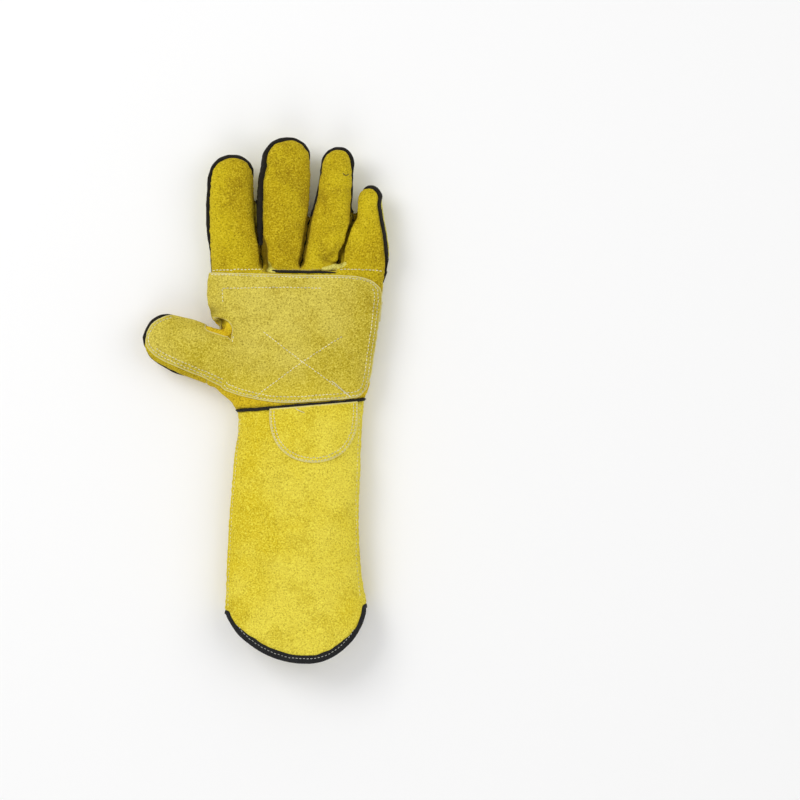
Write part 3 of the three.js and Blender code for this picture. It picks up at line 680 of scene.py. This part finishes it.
def suede(name, base, dark, light, nap, warm=None):
    """Napped split leather: soft mottling, brushed streaks, a fine nap, pale raw edges and painted shade in
    creases and hollows.

    warm is its colour where the warm attribute of a panel is high."""
    material, tree, shader, spot = new_material(name)
    broad = noise_at(tree, spot, 19, 3, 0.5)
    patchy = noise_at(tree, spot, 52, 5, 0.65)
    streak = noise_at(tree, spot, 120, 4, 0.65, stretch=(1.8, 0.6, 1.0))
    grain = noise_at(tree, spot, 820, 2, 0.6)
    fine = noise_at(tree, spot, 1900, 2, 0.7)
    colour = mix_colour(tree, ramp(tree, broad, 0.36, 0.66), base, light)
    colour = mix_colour(tree, ramp(tree, patchy, 0.46, 0.74, 0, 0.62), colour, dark)
    colour = mix_colour(tree, ramp(tree, streak, 0.5, 0.78, 0, 0.45), colour, light)
    if warm:
        colour = mix_colour(tree, attribute(tree, "warm"), colour, warm)
    bright = (min(1, light[0] * 1.4), min(1, light[1] * 1.45), light[2] * 1.2 + 0.03, 1)
    deep = darker(dark, 0.55)
    colour = mix_colour(tree, ramp(tree, grain, 0.5, 0.34, 0, 0.6 * nap), colour, bright)
    colour = mix_colour(tree, ramp(tree, grain, 0.53, 0.68, 0, 0.62 * nap), colour, deep)
    colour = mix_colour(tree, ramp(tree, fine, 0.5, 0.3, 0, 0.4 * nap), colour, bright)
    colour = mix_colour(tree, ramp(tree, fine, 0.54, 0.72, 0, 0.4 * nap), colour, deep)
    # Painted shade: creases, hollows and the gaps between fingers are mixed towards a dark brown
    shade_mix = ramp(tree, attribute(tree, "painted_shade"), 0.1, 1.0, 0, 0.85)
    colour = mix_colour(tree, shade_mix, colour, darker(dark, 0.4))
    edge = attribute(tree, "edge")
    frayed = tree.nodes.new("ShaderNodeMath")
    frayed.operation = "MULTIPLY_ADD"
    tree.links.new(grain, frayed.inputs[0])
    frayed.inputs[1].default_value = 1.1
    tree.links.new(edge, frayed.inputs[2])
    colour = mix_colour(tree, ramp(tree, frayed.outputs[0], 0.85, 1.5, 0, 0.8), colour, RAW)
    tree.links.new(colour, shader.inputs["Base Color"])
    tree.links.new(ramp(tree, grain, 0.3, 0.7, 0.98, 0.86), shader.inputs["Roughness"])
    shader.inputs["Specular IOR Level"].default_value = 0.08
    shader.inputs["Sheen Weight"].default_value = 0.07
    shader.inputs["Sheen Roughness"].default_value = 0.6
    shader.inputs["Sheen Tint"].default_value = (1.0, 0.88, 0.3, 1)
    last = None
    for height, strength, distance in ((patchy, 0.4, 0.0012), (grain, 0.8, 0.0007), (fine, 0.5, 0.0004)):
        last = bump(tree, height, strength, distance, last)
    tree.links.new(last, shader.inputs["Normal"])
    return material


def piping_material(name, base, grain):
    material, tree, shader, spot = new_material(name)
    patchy = noise_at(tree, spot, 180, 4, 0.6)
    fine = noise_at(tree, spot, grain, 3, 0.7)
    dusty = tuple(min(1, c * 3 + 0.008) for c in base[:3]) + (1,)
    colour = mix_colour(tree, ramp(tree, patchy, 0.45, 0.8, 0, 0.55), base, dusty)
    colour = mix_colour(tree, ramp(tree, fine, 0.55, 0.8, 0, 0.4), colour, dusty)
    tree.links.new(colour, shader.inputs["Base Color"])
    tree.links.new(ramp(tree, fine, 0.3, 0.7, 0.9, 0.62), shader.inputs["Roughness"])
    shader.inputs["Specular IOR Level"].default_value = 0.3
    tree.links.new(bump(tree, fine, 0.6, 0.0005), shader.inputs["Normal"])
    return material


def thread_material(name, base):
    material, tree, shader, spot = new_material(name)
    twist = noise_at(tree, spot, 2600, 2, 0.5)
    tone = noise_at(tree, spot, 60, 2, 0.5)
    colour = mix_colour(tree, ramp(tree, tone, 0.35, 0.7), base, darker(base, 0.62))
    tree.links.new(colour, shader.inputs["Base Color"])
    shader.inputs["Roughness"].default_value = 0.8
    tree.links.new(bump(tree, twist, 0.6, 0.0002), shader.inputs["Normal"])
    return material


RAW = (0.74, 0.68, 0.34, 1)
MUSTARD = suede("mustard_suede", (0.445, 0.31, 0.003, 1), (0.25, 0.145, 0.001, 1), (0.58, 0.445, 0.008, 1),
                0.95, warm=(0.66, 0.46, 0.012, 1))
PATCH = suede("patch_suede", (0.505, 0.393, 0.02, 1), (0.375, 0.26, 0.003, 1), (0.635, 0.525, 0.085, 1), 1.0,
              warm=(0.62, 0.49, 0.035, 1))
PALE = suede("pale_suede", (0.56, 0.48, 0.05, 1), (0.4, 0.32, 0.012, 1), (0.7, 0.63, 0.15, 1), 0.95)
CUFF = suede("cuff_suede", (0.69, 0.52, 0.016, 1), (0.5, 0.35, 0.003, 1), (0.78, 0.64, 0.065, 1), 0.85)
ORANGE = suede("orange_suede", (0.66, 0.42, 0.004, 1), (0.46, 0.26, 0.001, 1), (0.78, 0.58, 0.02, 1), 0.75)
BLACK = piping_material("black_piping", (0.008, 0.0065, 0.0045, 1), 900)
BINDING = piping_material("black_binding", (0.006, 0.006, 0.0065, 1), 1500)
THREAD = thread_material("pale_thread", (0.86, 0.8, 0.5, 1))
GREY_THREAD = thread_material("grey_thread", (0.5, 0.5, 0.46, 1))
DARK_THREAD = thread_material("dark_thread", (0.05, 0.03, 0.02, 1))

# The skin and the fields that seams and outlines follow
SURFACE, SKIN_TRIANGLES, NORMALS = whole_surface()
X, Y, Z = SURFACE.T
LOCAL = {name: unplace(digit, SURFACE) for name, digit in DIGITS.items()}


def finger_edge(name, y, side):
    digit = DIGITS[name]
    along = np.minimum(y - HAND_LENGTH, digit["length"] * 0.999)
    knots, wide, _ = (np.array(column, float) for column in zip(*digit["sections"]))
    share = along / digit["length"]
    half = smooth(knots, wide, share) * digit["width"] / 2
    cap = np.clip((share - knots[-1]) / (1 - knots[-1]), 0, 1)
    fullness = np.sqrt(1 - cap**2) ** CAP_FULLNESS
    return digit["base"][0] * HAND_WIDTH + drift(digit, along) + side * half * fullness


def parting(first, second):
    return (finger_edge(first, Y, 1) + finger_edge(second, Y, -1)) / 2


BETWEEN = [parting(a, b) for a, b in zip(FINGERS, FINGERS[1:])]
PARTINGS = [np.full(len(X), -500.0), *BETWEEN, np.full(len(X), 500.0)]
CELL = {name: np.minimum(X - PARTINGS[k], PARTINGS[k + 1] - X) for k, name in enumerate(FINGERS)}
THUMB_ACROSS, THUMB_ALONG, _ = LOCAL["thumb"]
THUMB_REACH = DIGITS["thumb"]["length"]


def seam_height():
    """Height over the seam that parts palm side and back, with how proud, wide and strong its piping is."""
    height = Z.copy()
    proud, wide, strong = np.full(len(X), WELT_PROUD), np.full(len(X), WELT_HALF), np.zeros(len(X))
    for name, seam in SEAMS.items():
        across, along, local = LOCAL[name]
        if name == "thumb":
            weight = ((np.abs(across) < THUMB_HALF) & (along > 8)).astype(float)
        else:
            weight = (Y > HAND_LENGTH) * step(CELL[name], -CROTCH_BLEND, CROTCH_BLEND)
        digit = DIGITS[name]
        share = along / digit["length"]
        side = step(across / digit["width"], -0.28, 0.28)
        tip = step(share, 0.78, 0.93) * step(across / digit["width"], seam["crown"], seam["crown"] + 0.22)
        keys = ("apart", "shift", "proud", "wide")
        sides = {key: seam[key][0] * (1 - side) + seam[key][1] * side for key in keys}
        shift = sides["shift"] * (1 - 0.85 * tip) * step(share - sides["apart"], 0.0, 0.25)
        height += weight * (local - shift - Z)
        proud += weight * (sides["proud"] * (1 - tip) + seam["tip"] * tip - WELT_PROUD)
        wide += weight * (sides["wide"] * (1 - tip) + 0.9 * tip - WELT_HALF)
        strong += weight * np.maximum(step(share, *seam["fade"]), tip)
    heel = (X < -30) & (Y < HAND_LENGTH) & (Y > 40) & (THUMB_ALONG < 8)
    height[heel] += 3.0 * (step(Y, 58, 70) * (1 - step(Y, 92, HAND_LENGTH)))[heel]
    little_side = (X > 30) & (Y <= HAND_LENGTH)
    strong[little_side] = step(Y[little_side], 90, HAND_LENGTH)
    proud[little_side] = 1.5
    return height, proud, wide, strong


H, PROUD, WIDE, STRONG = seam_height()
FRONT = H > 0
PIPED = ((X < 0) & (Y > INDEX_TAIL * HAND_LENGTH)) | ((X > 0) & (Y > LITTLE_TAIL * HAND_LENGTH))
PIPED |= (THUMB_ALONG > THUMB_WELT_START * THUMB_REACH) & (np.abs(THUMB_ACROSS) < 24)
SLOT = np.where(PIPED, WIDE + 0.05, SEAM_SLOT)
OVER_WRIST = Y - WRIST_SEAM[0] * HAND_LENGTH - WRIST_SEAM[1] * X
OVER_STRAP_SEAM = Y - STRAP_SEAM[0] * HAND_LENGTH - STRAP_SEAM[1] * X
THUMB_EDGE = THUMB_HALF - np.abs(THUMB_ACROSS)
BACK_WRIST = hand_plan(WRIST_BACK)
ABOVE_WRIST = np.vstack([BACK_WRIST, [(-200, -30), (-200, 300), (300, 300), (300, BACK_WRIST[0][1])]])
OVER_BACK_WRIST = inside_distance(X, Y, ABOVE_WRIST)
BORDER = hand_plan(BACK_BORDER)
THUMB_SIDE = inside_distance(X, Y, np.vstack([BORDER, [(-300, BORDER[-1][1]), (-300, BORDER[0][1])]]))
HEM_FRONT = hem_distance(X, Y, HEM_DROP)
HEM_BACK = hem_distance(X, Y, HEM_DROP_BACK)
OVER_HEM = np.where(FRONT, HEM_FRONT, HEM_BACK)


def patch_outline():
    thumb = DIGITS["thumb"]
    across, along = np.array(PATCH_THUMB).T
    lobe = place(thumb, across * thumb["width"], along * thumb["length"], np.zeros(len(along)))[:, :2]
    return chaikin(hand_plan(PATCH_PALM), 2), chaikin(lobe, 2)


def cuff_patch_outline():
    arc = []
    for k in range(33):
        angle = math.pi * k / 32
        arc.append((CUFF_WIDTH * (CUFF_PATCH["centre"] + CUFF_PATCH["half"] * math.cos(angle)),
                    -CUFF_LENGTH * CUFF_PATCH["drop"] * math.sin(angle) ** CUFF_PATCH["roundness"]))
    return np.array([(arc[0][0], 25), *arc, (arc[-1][0], 25)])


PALM_OUTLINE, LOBE_OUTLINE = patch_outline()
PATCH_INSIDE = np.maximum(inside_distance(X, Y, PALM_OUTLINE), inside_distance(X, Y, LOBE_OUTLINE))
TAB_INSIDE = inside_distance(X, Y, chaikin(hand_plan(CROTCH_TAB), 2))
STRAP_INSIDE = inside_distance(X, Y, chaikin(hand_plan(STRAP), 1))
CUFF_PATCH_INSIDE = inside_distance(X, Y, cuff_patch_outline())


def pressed():
    """How far creases, seams and the leather's own unevenness move the skin, and how much shade is painted into
    creases, hollows, finger valleys and the sides of the middle and ring fingers.
    """
    press = np.zeros(len(X))
    painted_shade = np.zeros(len(X))
    clear = step(np.abs(H), 1.5, 6)
    creases = [(FRONT, row) for row in PALM_CREASES] + [(~FRONT, row) for row in BACK_CREASES]
    for side, (x0, y0, x1, y1, depth, width, shade_strength) in creases:
        ax, ay = from_photo(x0, y0)
        bx, by = from_photo(x1, y1)
        ex, ey = bx - ax, by - ay
        t = np.clip(((X - ax) * ex + (Y - ay) * ey) / (ex * ex + ey * ey), 0, 1)
        wander = 1.6 * np.sin(t * 7 + ax)
        length = math.hypot(ex, ey)
        gap = np.hypot(X - ax - t * ex + ey / length * wander * 0.4,
                       Y - ay - t * ey - ex / length * wander * 0.4)
        fade = np.sin(np.pi * np.clip(t * 0.9 + 0.05, 0, 1)) ** 0.6
        valley = np.exp(-((gap / width) ** 2))
        ridge = np.exp(-(((gap - 1.9 * width) / (1.1 * width)) ** 2))
        press += side * clear * fade * depth * (0.45 * ridge - valley)
        # Painted shade in the valley of each crease
        painted_shade = np.maximum(painted_shade, side * fade * valley * min(1, depth / 2) * shade_strength)
    for x, y, radius, depth, shade_strength in HOLLOWS:
        hx, hy = from_photo(x, y)
        bowl = np.exp(-(((X - hx) ** 2 + ((Y - hy) * 1.5) ** 2) / radius ** 2)) * FRONT
        press -= depth * bowl
        # Painted shade in the hollows, darkest in the shadowed notch at the thumb crotch
        painted_shade = np.maximum(painted_shade, bowl * shade_strength)
    starts = np.where(FRONT, HAND_LENGTH + 2, HAND_LENGTH - 5)
    rising = np.clip((Y - starts) / np.where(FRONT, 4, 14), 0, 1)
    for between in BETWEEN:
        valley = rising * np.exp(-(((X - between) / VALLEY_WIDTH) ** 2))
        press -= VALLEY_DEPTH * clear * valley
        # Painted shade in the valleys between the fingers
        painted_shade = np.maximum(painted_shade, 1.2 * valley)
    # Painted shade along the sides of the middle and ring fingers where they curve away, and evenly over the
    # ring's base
    for name, shade_strength, even in (("middle", 0.2, 0.0), ("ring", 0.34, 0.17)):
        near = FRONT * step(CELL[name], 0, 3) * step(Y, HAND_LENGTH, HAND_LENGTH + 10)
        painted_shade = np.maximum(painted_shade, near * np.maximum(shade_strength * np.exp(-((H / 6.0) ** 2)), even))
    rolling = np.array([noise.noise(Vector(p) * 0.028) for p in SURFACE])
    uneven = np.array([noise.noise(Vector(p) * 0.085) for p in SURFACE])
    puckers = np.array([noise.noise(Vector((p[0] * 0.11, p[1] * 0.35, p[2] * 0.2))) for p in SURFACE])
    press += clear * (1.7 * rolling + 0.75 * uneven)
    near_seam = np.exp(-((np.abs(H) / 9) ** 2))
    press += 0.8 * puckers * near_seam * step(np.abs(H), 0.5, 3)
    near_wrist = np.exp(-((OVER_WRIST / 7) ** 2)) * FRONT
    press += near_wrist * (0.9 * puckers - 0.6 * np.exp(-((OVER_WRIST / 2.5) ** 2)))
    press -= 0.3 * (np.exp(-((OVER_STRAP_SEAM / 5) ** 2)) * ~FRONT)
    return press, np.clip(painted_shade, 0, 1)


PRESSED, PAINTED_SHADING = pressed()
SKIN = np.column_stack([SURFACE, NORMALS, PRESSED, PAINTED_SHADING])

UP = H - SLOT
DOWN = -H - SLOT
NOT_THUMB = np.maximum(THUMB_SPLIT * THUMB_REACH - THUMB_ALONG, -THUMB_EDGE)
BEYOND_CREASE = np.minimum(THUMB_ALONG - THUMB_CREASE * THUMB_REACH, THUMB_EDGE)
SET_IN = np.maximum(CELL["middle"], CELL["ring"])


def make_panels():
    """Every leather piece, cut from the one skin so that its neighbours meet it along the seams."""
    rolled = dict(outer=0.0, inner=-LEATHER, roll=(1.1, 1.6), raw=0.55)
    made = {}

    def add(name, material, slot, fields, **options):
        settings = {**rolled, **options}
        made[name] = ride_as(leather_panel(f"{name}_leather", fields, **settings), material, slot, name)

    add("palm", MUSTARD, "mustard_suede",
        [UP, OVER_WRIST - WELT_SLOT, np.maximum(HAND_LENGTH - WELT_SLOT - Y, -SET_IN - CUT_GAP), NOT_THUMB])
    for name in ("middle", "ring"):
        fields = [UP, Y - HAND_LENGTH - WELT_SLOT, CELL[name] - CUT_GAP]
        add(f"{name}_front", MUSTARD, "mustard_suede", fields)
    add("thumb_front", MUSTARD, "mustard_suede",
        [UP, THUMB_ALONG - THUMB_SPLIT * THUMB_REACH, THUMB_EDGE])
    add("finger_backs", PALE, "pale_suede", [DOWN, OVER_STRAP_SEAM - LAID_GAP])
    below_strap = [DOWN, -OVER_STRAP_SEAM, OVER_BACK_WRIST - CUT_GAP]
    add("hand_back", PALE, "pale_suede", [*below_strap, -BEYOND_CREASE, -THUMB_SIDE - CUT_GAP])
    add("thumb_side_panel", ORANGE, "orange_suede",
        [*below_strap, -BEYOND_CREASE - CUT_GAP, THUMB_SIDE - CUT_GAP])
    add("thumb_back", ORANGE, "orange_suede", [DOWN, BEYOND_CREASE - CUT_GAP])
    add("cuff_front", CUFF, "cuff_suede", [UP, -OVER_WRIST - WELT_SLOT, HEM_FRONT - HEM_INSET])
    add("cuff_back", CUFF, "cuff_suede", [DOWN, -OVER_BACK_WRIST, HEM_BACK - HEM_INSET])
    laid = dict(outer=PATCH_HIGH, inner=PATCH_LOW, roll=(0.35, 1.4), bulge=0.3, raw=1.0)
    over = H - WELT_SLOT - LAID_GAP
    add("palm_patch", PATCH, "patch_suede",
        [over, PATCH_INSIDE, OVER_WRIST - WELT_SLOT, -TAB_INSIDE - LAID_GAP], **laid)
    cushion = dict(outer=2.4, inner=-0.6, roll=(1.7, 1.7), bulge=0.3, raw=0.1)
    add("crotch_tab", ORANGE, "orange_suede", [over, TAB_INSIDE], **cushion)
    for number, corners in enumerate(GUSSETS, 1):
        shape = inside_distance(X, Y, chaikin(photo_line(*corners), 2))
        obj = leather_panel(f"gusset_{number}", [H + 1, shape], outer=1.4, inner=-0.8, roll=(1.2, 1.8),
                            bulge=0.3, raw=0.35)
        ride_as(obj, PALE, "pale_suede")
    add("knuckle_strap", PALE, "pale_suede", [-H - WELT_SLOT - LAID_GAP, STRAP_INSIDE], **laid)
    add("cuff_patch", CUFF, "cuff_suede", [over, CUFF_PATCH_INSIDE, -OVER_WRIST - WELT_SLOT], **laid)
    return made


def make_welts():
    """Black piping in the seams, standing a little proud, and the tape round the hem."""
    wobble = np.array([noise.noise(Vector(p) * 0.16) for p in SURFACE])
    height = H + 0.3 * wobble

    def pipe(name, fields, outer):
        obj = leather_panel(f"{name}_piping", fields, outer, inner=-1.6, bulge=0.25, ripple=0.4)
        ride_as(obj, BLACK, "black_piping", f"{name}_welt")

    starts = {"index": INDEX_TAIL, "middle": FINGER_TAIL, "ring": FINGER_TAIL, "little": LITTLE_TAIL}
    for name, start in starts.items():
        fields = [WIDE - height, WIDE + height, Y - start * HAND_LENGTH, CELL[name] + 0.3]
        pipe(name, fields, PROUD * STRONG)
    fields = [WIDE - height, WIDE + height, THUMB_EDGE, THUMB_ALONG - THUMB_WELT_START * THUMB_REACH]
    pipe("thumb", fields, PROUD * STRONG)
    seam = Y - HAND_LENGTH + 1.6 + 0.03 * X + 0.3 * wobble
    half = WELT_HALF * (1 - 0.8 * step(X, 12, 31)) * (0.4 + 0.6 * step(X, -21, -15))
    fields = [H - WELT_SLOT, half - seam, half + seam, SET_IN - CUT_GAP, 31 - X, X + 21]
    pipe("base", fields, LOW_WELT)
    seam = OVER_WRIST + 0.5 * wobble
    half = WELT_HALF + 0.2
    pipe("wrist", [H - WELT_SLOT, half - seam, half + seam], LOW_WELT)
    corner = np.abs(X / CUFF_WIDTH - (HEM["left"] + HEM["right"]) / 2) * 2 / (HEM["right"] - HEM["left"])
    width = BINDING_WIDTH + (BINDING_CORNER - BINDING_WIDTH) * step(corner, 0.55, 0.98) + 0.5 * wobble
    obj = leather_panel("hem_tape", [OVER_HEM, width - OVER_HEM],
                        outer=BINDING_HIGH * (1 - 0.75 * step(corner, 0.8, 1.0)), inner=-BINDING_LOW,
                        roll=(0.3, 1.2), bulge=0.6)
    ride_as(obj, BINDING, "black_binding", "hem_binding")
    return obj


def capsule(sides=6):
    """A stitch along +X of unit length and radius."""
    rings = [(-0.5, 0.35), (-0.32, 0.95), (0.0, 1.1), (0.32, 0.95), (0.5, 0.35)]
    verts = []
    for along, radius in rings:
        for k in range(sides):
            angle = 2 * math.pi * k / sides
            verts.append((along, radius * math.cos(angle), radius * math.sin(angle)))
    quads = []
    for r in range(len(rings) - 1):
        for k in range(sides):
            a, b = r * sides + k, r * sides + (k + 1) % sides
            quads.append((a, a + sides, b + sides, b))
    caps = [tuple(range(sides)), tuple(range((len(rings) - 1) * sides, len(rings) * sides))[::-1]]
    return np.array(verts), np.array(quads), np.array(caps)


CAPSULE = capsule()


def surface_tree(objects):
    verts, faces = [], []
    for obj in objects:
        start = len(verts)
        verts += [tuple(v.co) for v in obj.data.vertices]
        faces += [tuple(i + start for i in p.vertices) for p in obj.data.polygons]
    return BVHTree.FromPolygons(verts, faces)


def drop_on(tree, x, y, side):
    """The point and normal where an upright line meets a surface, from above or below for side 1 or -1."""
    start = (np.array([x, y, 0.0]) + ORIGIN) * MM
    start[2] = side * RAY_START
    hit, normal, _, _ = tree.ray_cast(Vector(start), Vector((0, 0, -side)))
    if hit is None:
        return None
    return np.array(hit) / MM - ORIGIN, np.array(normal)


def resample(line, pitch):
    line = np.asarray(line, float)
    lengths = np.hypot(*np.diff(line, axis=0).T)
    total = np.concatenate([[0], np.cumsum(lengths)])
    at = np.arange(0, total[-1], pitch)
    return np.stack([np.interp(at, total, line[:, k]) for k in range(2)], axis=1)


def stitch_row(name, lines, objects, side, material, slot, pitch=2.7, length=1.95, radius=0.36, rise=0.14):
    """Rows of short stitches laid on a surface along plan lines."""
    tree = surface_tree(objects)
    verts, quads, caps = [], [], []
    template, template_quads, template_caps = CAPSULE
    for line in lines:
        points = resample(line, pitch)
        for a, b in zip(points, points[1:]):
            along = (b - a) / max(np.linalg.norm(b - a), 1e-9)
            shift = np.array([-along[1], along[0]]) * RANDOM.gauss(0, 0.12)
            middle = (a + b) / 2 + shift
            half = length / 2 * RANDOM.uniform(0.85, 1.1)
            low = drop_on(tree, *(middle - along * half), side)
            high = drop_on(tree, *(middle + along * half), side)
            centre = drop_on(tree, *middle, side)
            if low is None or high is None or centre is None or abs(low[0][2] - high[0][2]) > STITCH_STEP:
                continue
            ahead = high[0] - low[0]
            size = np.linalg.norm(ahead)
            ahead = ahead / size
            up = centre[1] - ahead * (centre[1] @ ahead)
            up /= np.linalg.norm(up)
            across = np.cross(up, ahead)
            where = (low[0] + high[0]) / 2 * 0.5 + centre[0] * 0.5 + up * rise
            start = sum(len(v) for v in verts)
            verts.append(where + template[:, :1] * size * ahead + template[:, 1:2] * radius * across
                         + template[:, 2:] * radius * up)
            quads.append(template_quads + start)
            caps.append(template_caps + start)
    if not verts:
        return None
    obj = mesh_object(name, np.vstack(verts), [np.vstack(quads), np.vstack(caps)], 80)
    return ride_as(obj, material, slot)


def inset(outline, distance, closed=True):
    """An outline moved inwards; its points run round anticlockwise or clockwise."""
    outline = np.asarray(outline, float)
    before, after = np.roll(outline, 1, axis=0), np.roll(outline, -1, axis=0)
    if not closed:
        before[0], after[-1] = outline[0], outline[-1]
    tangent = unit(after - before)
    x, y = outline.T
    area = np.sum(x * np.roll(y, -1) - y * np.roll(x, -1))
    normal = np.stack([-tangent[:, 1], tangent[:, 0]], axis=1) * (1 if area > 0 else -1)
    return outline + normal * distance


def patch_rows():
    """Stitch lines of the palm patch: two rows round its border and the cross over the heel of the hand."""
    notch_x, notch_y = from_photo(*NOTCH[:2])

    def along_border(outline, other, distance):
        row = inset(outline, distance)
        closed = np.vstack([row, row[:1]])
        dense = resample(closed, 1.0)
        free = inside_distance(dense[:, 0], dense[:, 1], other) < distance - 0.1
        free &= np.hypot(dense[:, 0] - notch_x, dense[:, 1] - notch_y) > NOTCH[2]
        if distance == BORDER_ROWS[1]:
            # The inner row stays off the finger seam and the index side
            free &= (dense[:, 1] < BORDER_TOP * HAND_LENGTH) & ~((dense[:, 1] > 40) & (dense[:, 0] < 0))
        runs, run = [], []
        for point, keep in zip(dense, free):
            if keep:
                run.append(point)
            elif run:
                runs.append(np.array(run))
                run = []
        if run:
            runs.append(np.array(run))
        return [r for r in runs if len(r) > 6]

    rows = []
    for distance in BORDER_ROWS:
        rows += along_border(PALM_OUTLINE, LOBE_OUTLINE, distance)
        rows += along_border(LOBE_OUTLINE, PALM_OUTLINE, distance)
    rows.append(photo_line((224, 303), (223, 289), (250, 288.5), (285, 288), (322, 289)))
    rows.append(photo_line((264, 332), (303, 362), (351, 397)))
    rows.append(photo_line((256, 397), (303, 362), (345, 335)))
    return rows


def hem_line(drop, distance):
    line = hem_arc(drop)[6:-6]
    tangent = np.gradient(line, axis=0)
    tangent /= np.linalg.norm(tangent, axis=1, keepdims=True)
    return line + np.stack([tangent[:, 1], -tangent[:, 0]], axis=1) * distance


def make_stitches(panels, tape):
    stitch_row("patch_stitches", patch_rows(), [panels["palm_patch"]], 1, THREAD, "patch_suede")
    base_rows = [photo_line((209, 271), (240, 270), (263, 270)),
                 photo_line((340, 270), (360, 270), (384, 271))]
    stitch_row("base_stitches", base_rows, [panels["palm"]], 1, THREAD, "mustard_suede")
    moon = cuff_patch_outline()[1:-1]
    stitch_row("cuff_patch_stitches", [inset(moon, row, False) for row in MOON_ROWS],
               [panels["cuff_patch"]], 1, THREAD, "cuff_suede", pitch=2.4, length=1.8)
    side_rows = [photo_line((360, 404), (358.5, 440), (356, 500), (356.5, 560), (360, 596)),
                 photo_line((240.5, 418), (238, 446), (233, 500), (229.5, 560), (228, 608))]
    stitch_row("cuff_side_stitches", side_rows, [panels["cuff_front"]], 1, THREAD, "cuff_suede",
               pitch=3.0, length=1.7, radius=0.24, rise=0.02)
    strap = chaikin(hand_plan(STRAP), 1)
    stitch_row("strap_stitches", [np.vstack([inset(strap, STRAP_ROW), inset(strap, STRAP_ROW)[:1]])],
               [panels["knuckle_strap"]], -1, THREAD, "pale_suede")
    wrist = hand_plan(WRIST_BACK)[1:-1]
    stitch_row("back_wrist_stitches", [wrist - (0, 2.0)], [panels["cuff_back"]], -1, THREAD, "cuff_suede")
    border = hand_plan(BACK_BORDER)[:-1]
    stitch_row("thumb_side_stitches", [border + (1.6, 0)], [panels["hand_back"]], -1, THREAD, "pale_suede")
    hems = (("hem_front_stitches", HEM_DROP, 1), ("hem_back_stitches", HEM_DROP_BACK, -1))
    for name, drop, side in hems:
        stitch_row(name, [hem_line(drop, HEM_ROW)], [tape], side, GREY_THREAD, "black_binding",
                   pitch=2.8, length=1.7, radius=0.26)


def make_threads(panels):
    """Loose ends of sewing thread."""
    def strand(name, pixels, objects, side, material, slot, radius, lifts):
        tree = surface_tree(objects)
        path = []
        for pixel, up in zip(pixels, lifts):
            hit = drop_on(tree, *from_photo(*pixel), side)
            if hit is not None:
                path.append(hit[0] + np.array([0, 0, side * (up + radius)]))
        curve = bpy.data.curves.new(name, "CURVE")
        curve.dimensions = "3D"
        curve.bevel_depth = radius * MM
        curve.bevel_resolution = 1
        curve.resolution_u = 6
        spline = curve.splines.new("BEZIER")
        spline.bezier_points.add(len(path) - 1)
        for knot, point in zip(spline.bezier_points, path):
            knot.co = Vector((point + ORIGIN) * MM)
            knot.handle_left_type = knot.handle_right_type = "AUTO"
        obj = in_scene(name, curve)
        mesh = bpy.data.meshes.new_from_object(obj.evaluated_get(bpy.context.evaluated_depsgraph_get()))
        bpy.data.objects.remove(obj)
        ride_as(in_scene(name, mesh), material, slot)

    strand("wrist_thread", [(295, 406.5), (298, 409.5), (301, 411), (305, 412.5)],
           [panels["cuff_patch"], panels["cuff_front"]], 1, THREAD, "cuff_suede", 0.28, (0.2, 0.8, 0.4, 0.1))
    strand("ring_thread", [(343, 174), (346, 176.5), (349, 175), (352, 176)],
           [panels["ring_front"]], 1, DARK_THREAD, "mustard_suede", 0.25, (0.0, 0.5, 0.3, 0.2))
    strand("patch_thread", [(332, 381), (337, 385), (342, 389.5), (347, 393.5), (351, 397)],
           [panels["palm_patch"]], 1, THREAD, "patch_suede", 0.34, (0.1, 0.4, 0.5, 0.3, 0.1))


def camera_and_light():
    """The photograph looks straight down, with this glove left of its middle."""
    scene = bpy.context.scene
    span = PHOTO_SIZE * PIXEL * MM
    data = bpy.data.cameras.new("camera")
    data.sensor_width = 36
    data.lens = data.sensor_width * (CAMERA_HEIGHT - FOCUS_HEIGHT) / span
    camera = in_scene("camera", data)
    middle_x, middle_y = from_photo(PHOTO_SIZE / 2, PHOTO_SIZE / 2)
    camera.location = ((middle_x + ORIGIN[0]) * MM, (middle_y + ORIGIN[1]) * MM, CAMERA_HEIGHT)
    scene.camera = camera

    floor = new_object("floor", [(-4, -4, 0), (4, -4, 0), (4, 4, 0), (-4, 4, 0)], [(0, 1, 2, 3)])
    material = bpy.data.materials.new("floor")
    material.use_nodes = True
    shader = material.node_tree.nodes["Principled BSDF"]
    shader.inputs["Base Color"].default_value = (0.93, 0.93, 0.93, 1)
    shader.inputs["Roughness"].default_value = 0.9
    floor.data.materials.append(material)

    world = bpy.data.worlds.new("studio")
    world.use_nodes = True
    world.node_tree.nodes["Background"].inputs[0].default_value = (1, 1, 1, 1)
    world.node_tree.nodes["Background"].inputs[1].default_value = 0.55
    scene.world = world
    lamps = [("key", (-1.1, 0.9, 1.5), 1.1, 17), ("fill", (1.3, 0.2, 1.5), 1.4, 8),
             ("low", (-0.2, -1.4, 1.3), 1.2, 6)]
    for name, spot, size, power in lamps:
        light = bpy.data.lights.new(name, "AREA")
        light.size = size
        light.energy = power
        lamp = in_scene(name, light)
        lamp.location = spot
        lamp.rotation_euler = (Vector((0, 0, 0)) - Vector(spot)).to_track_quat("-Z", "Y").to_euler()
    scene.view_settings.view_transform = "Standard"


camera_and_light()
PANELS = make_panels()
TAPE = make_welts()
make_stitches(PANELS, TAPE)
make_threads(PANELS)
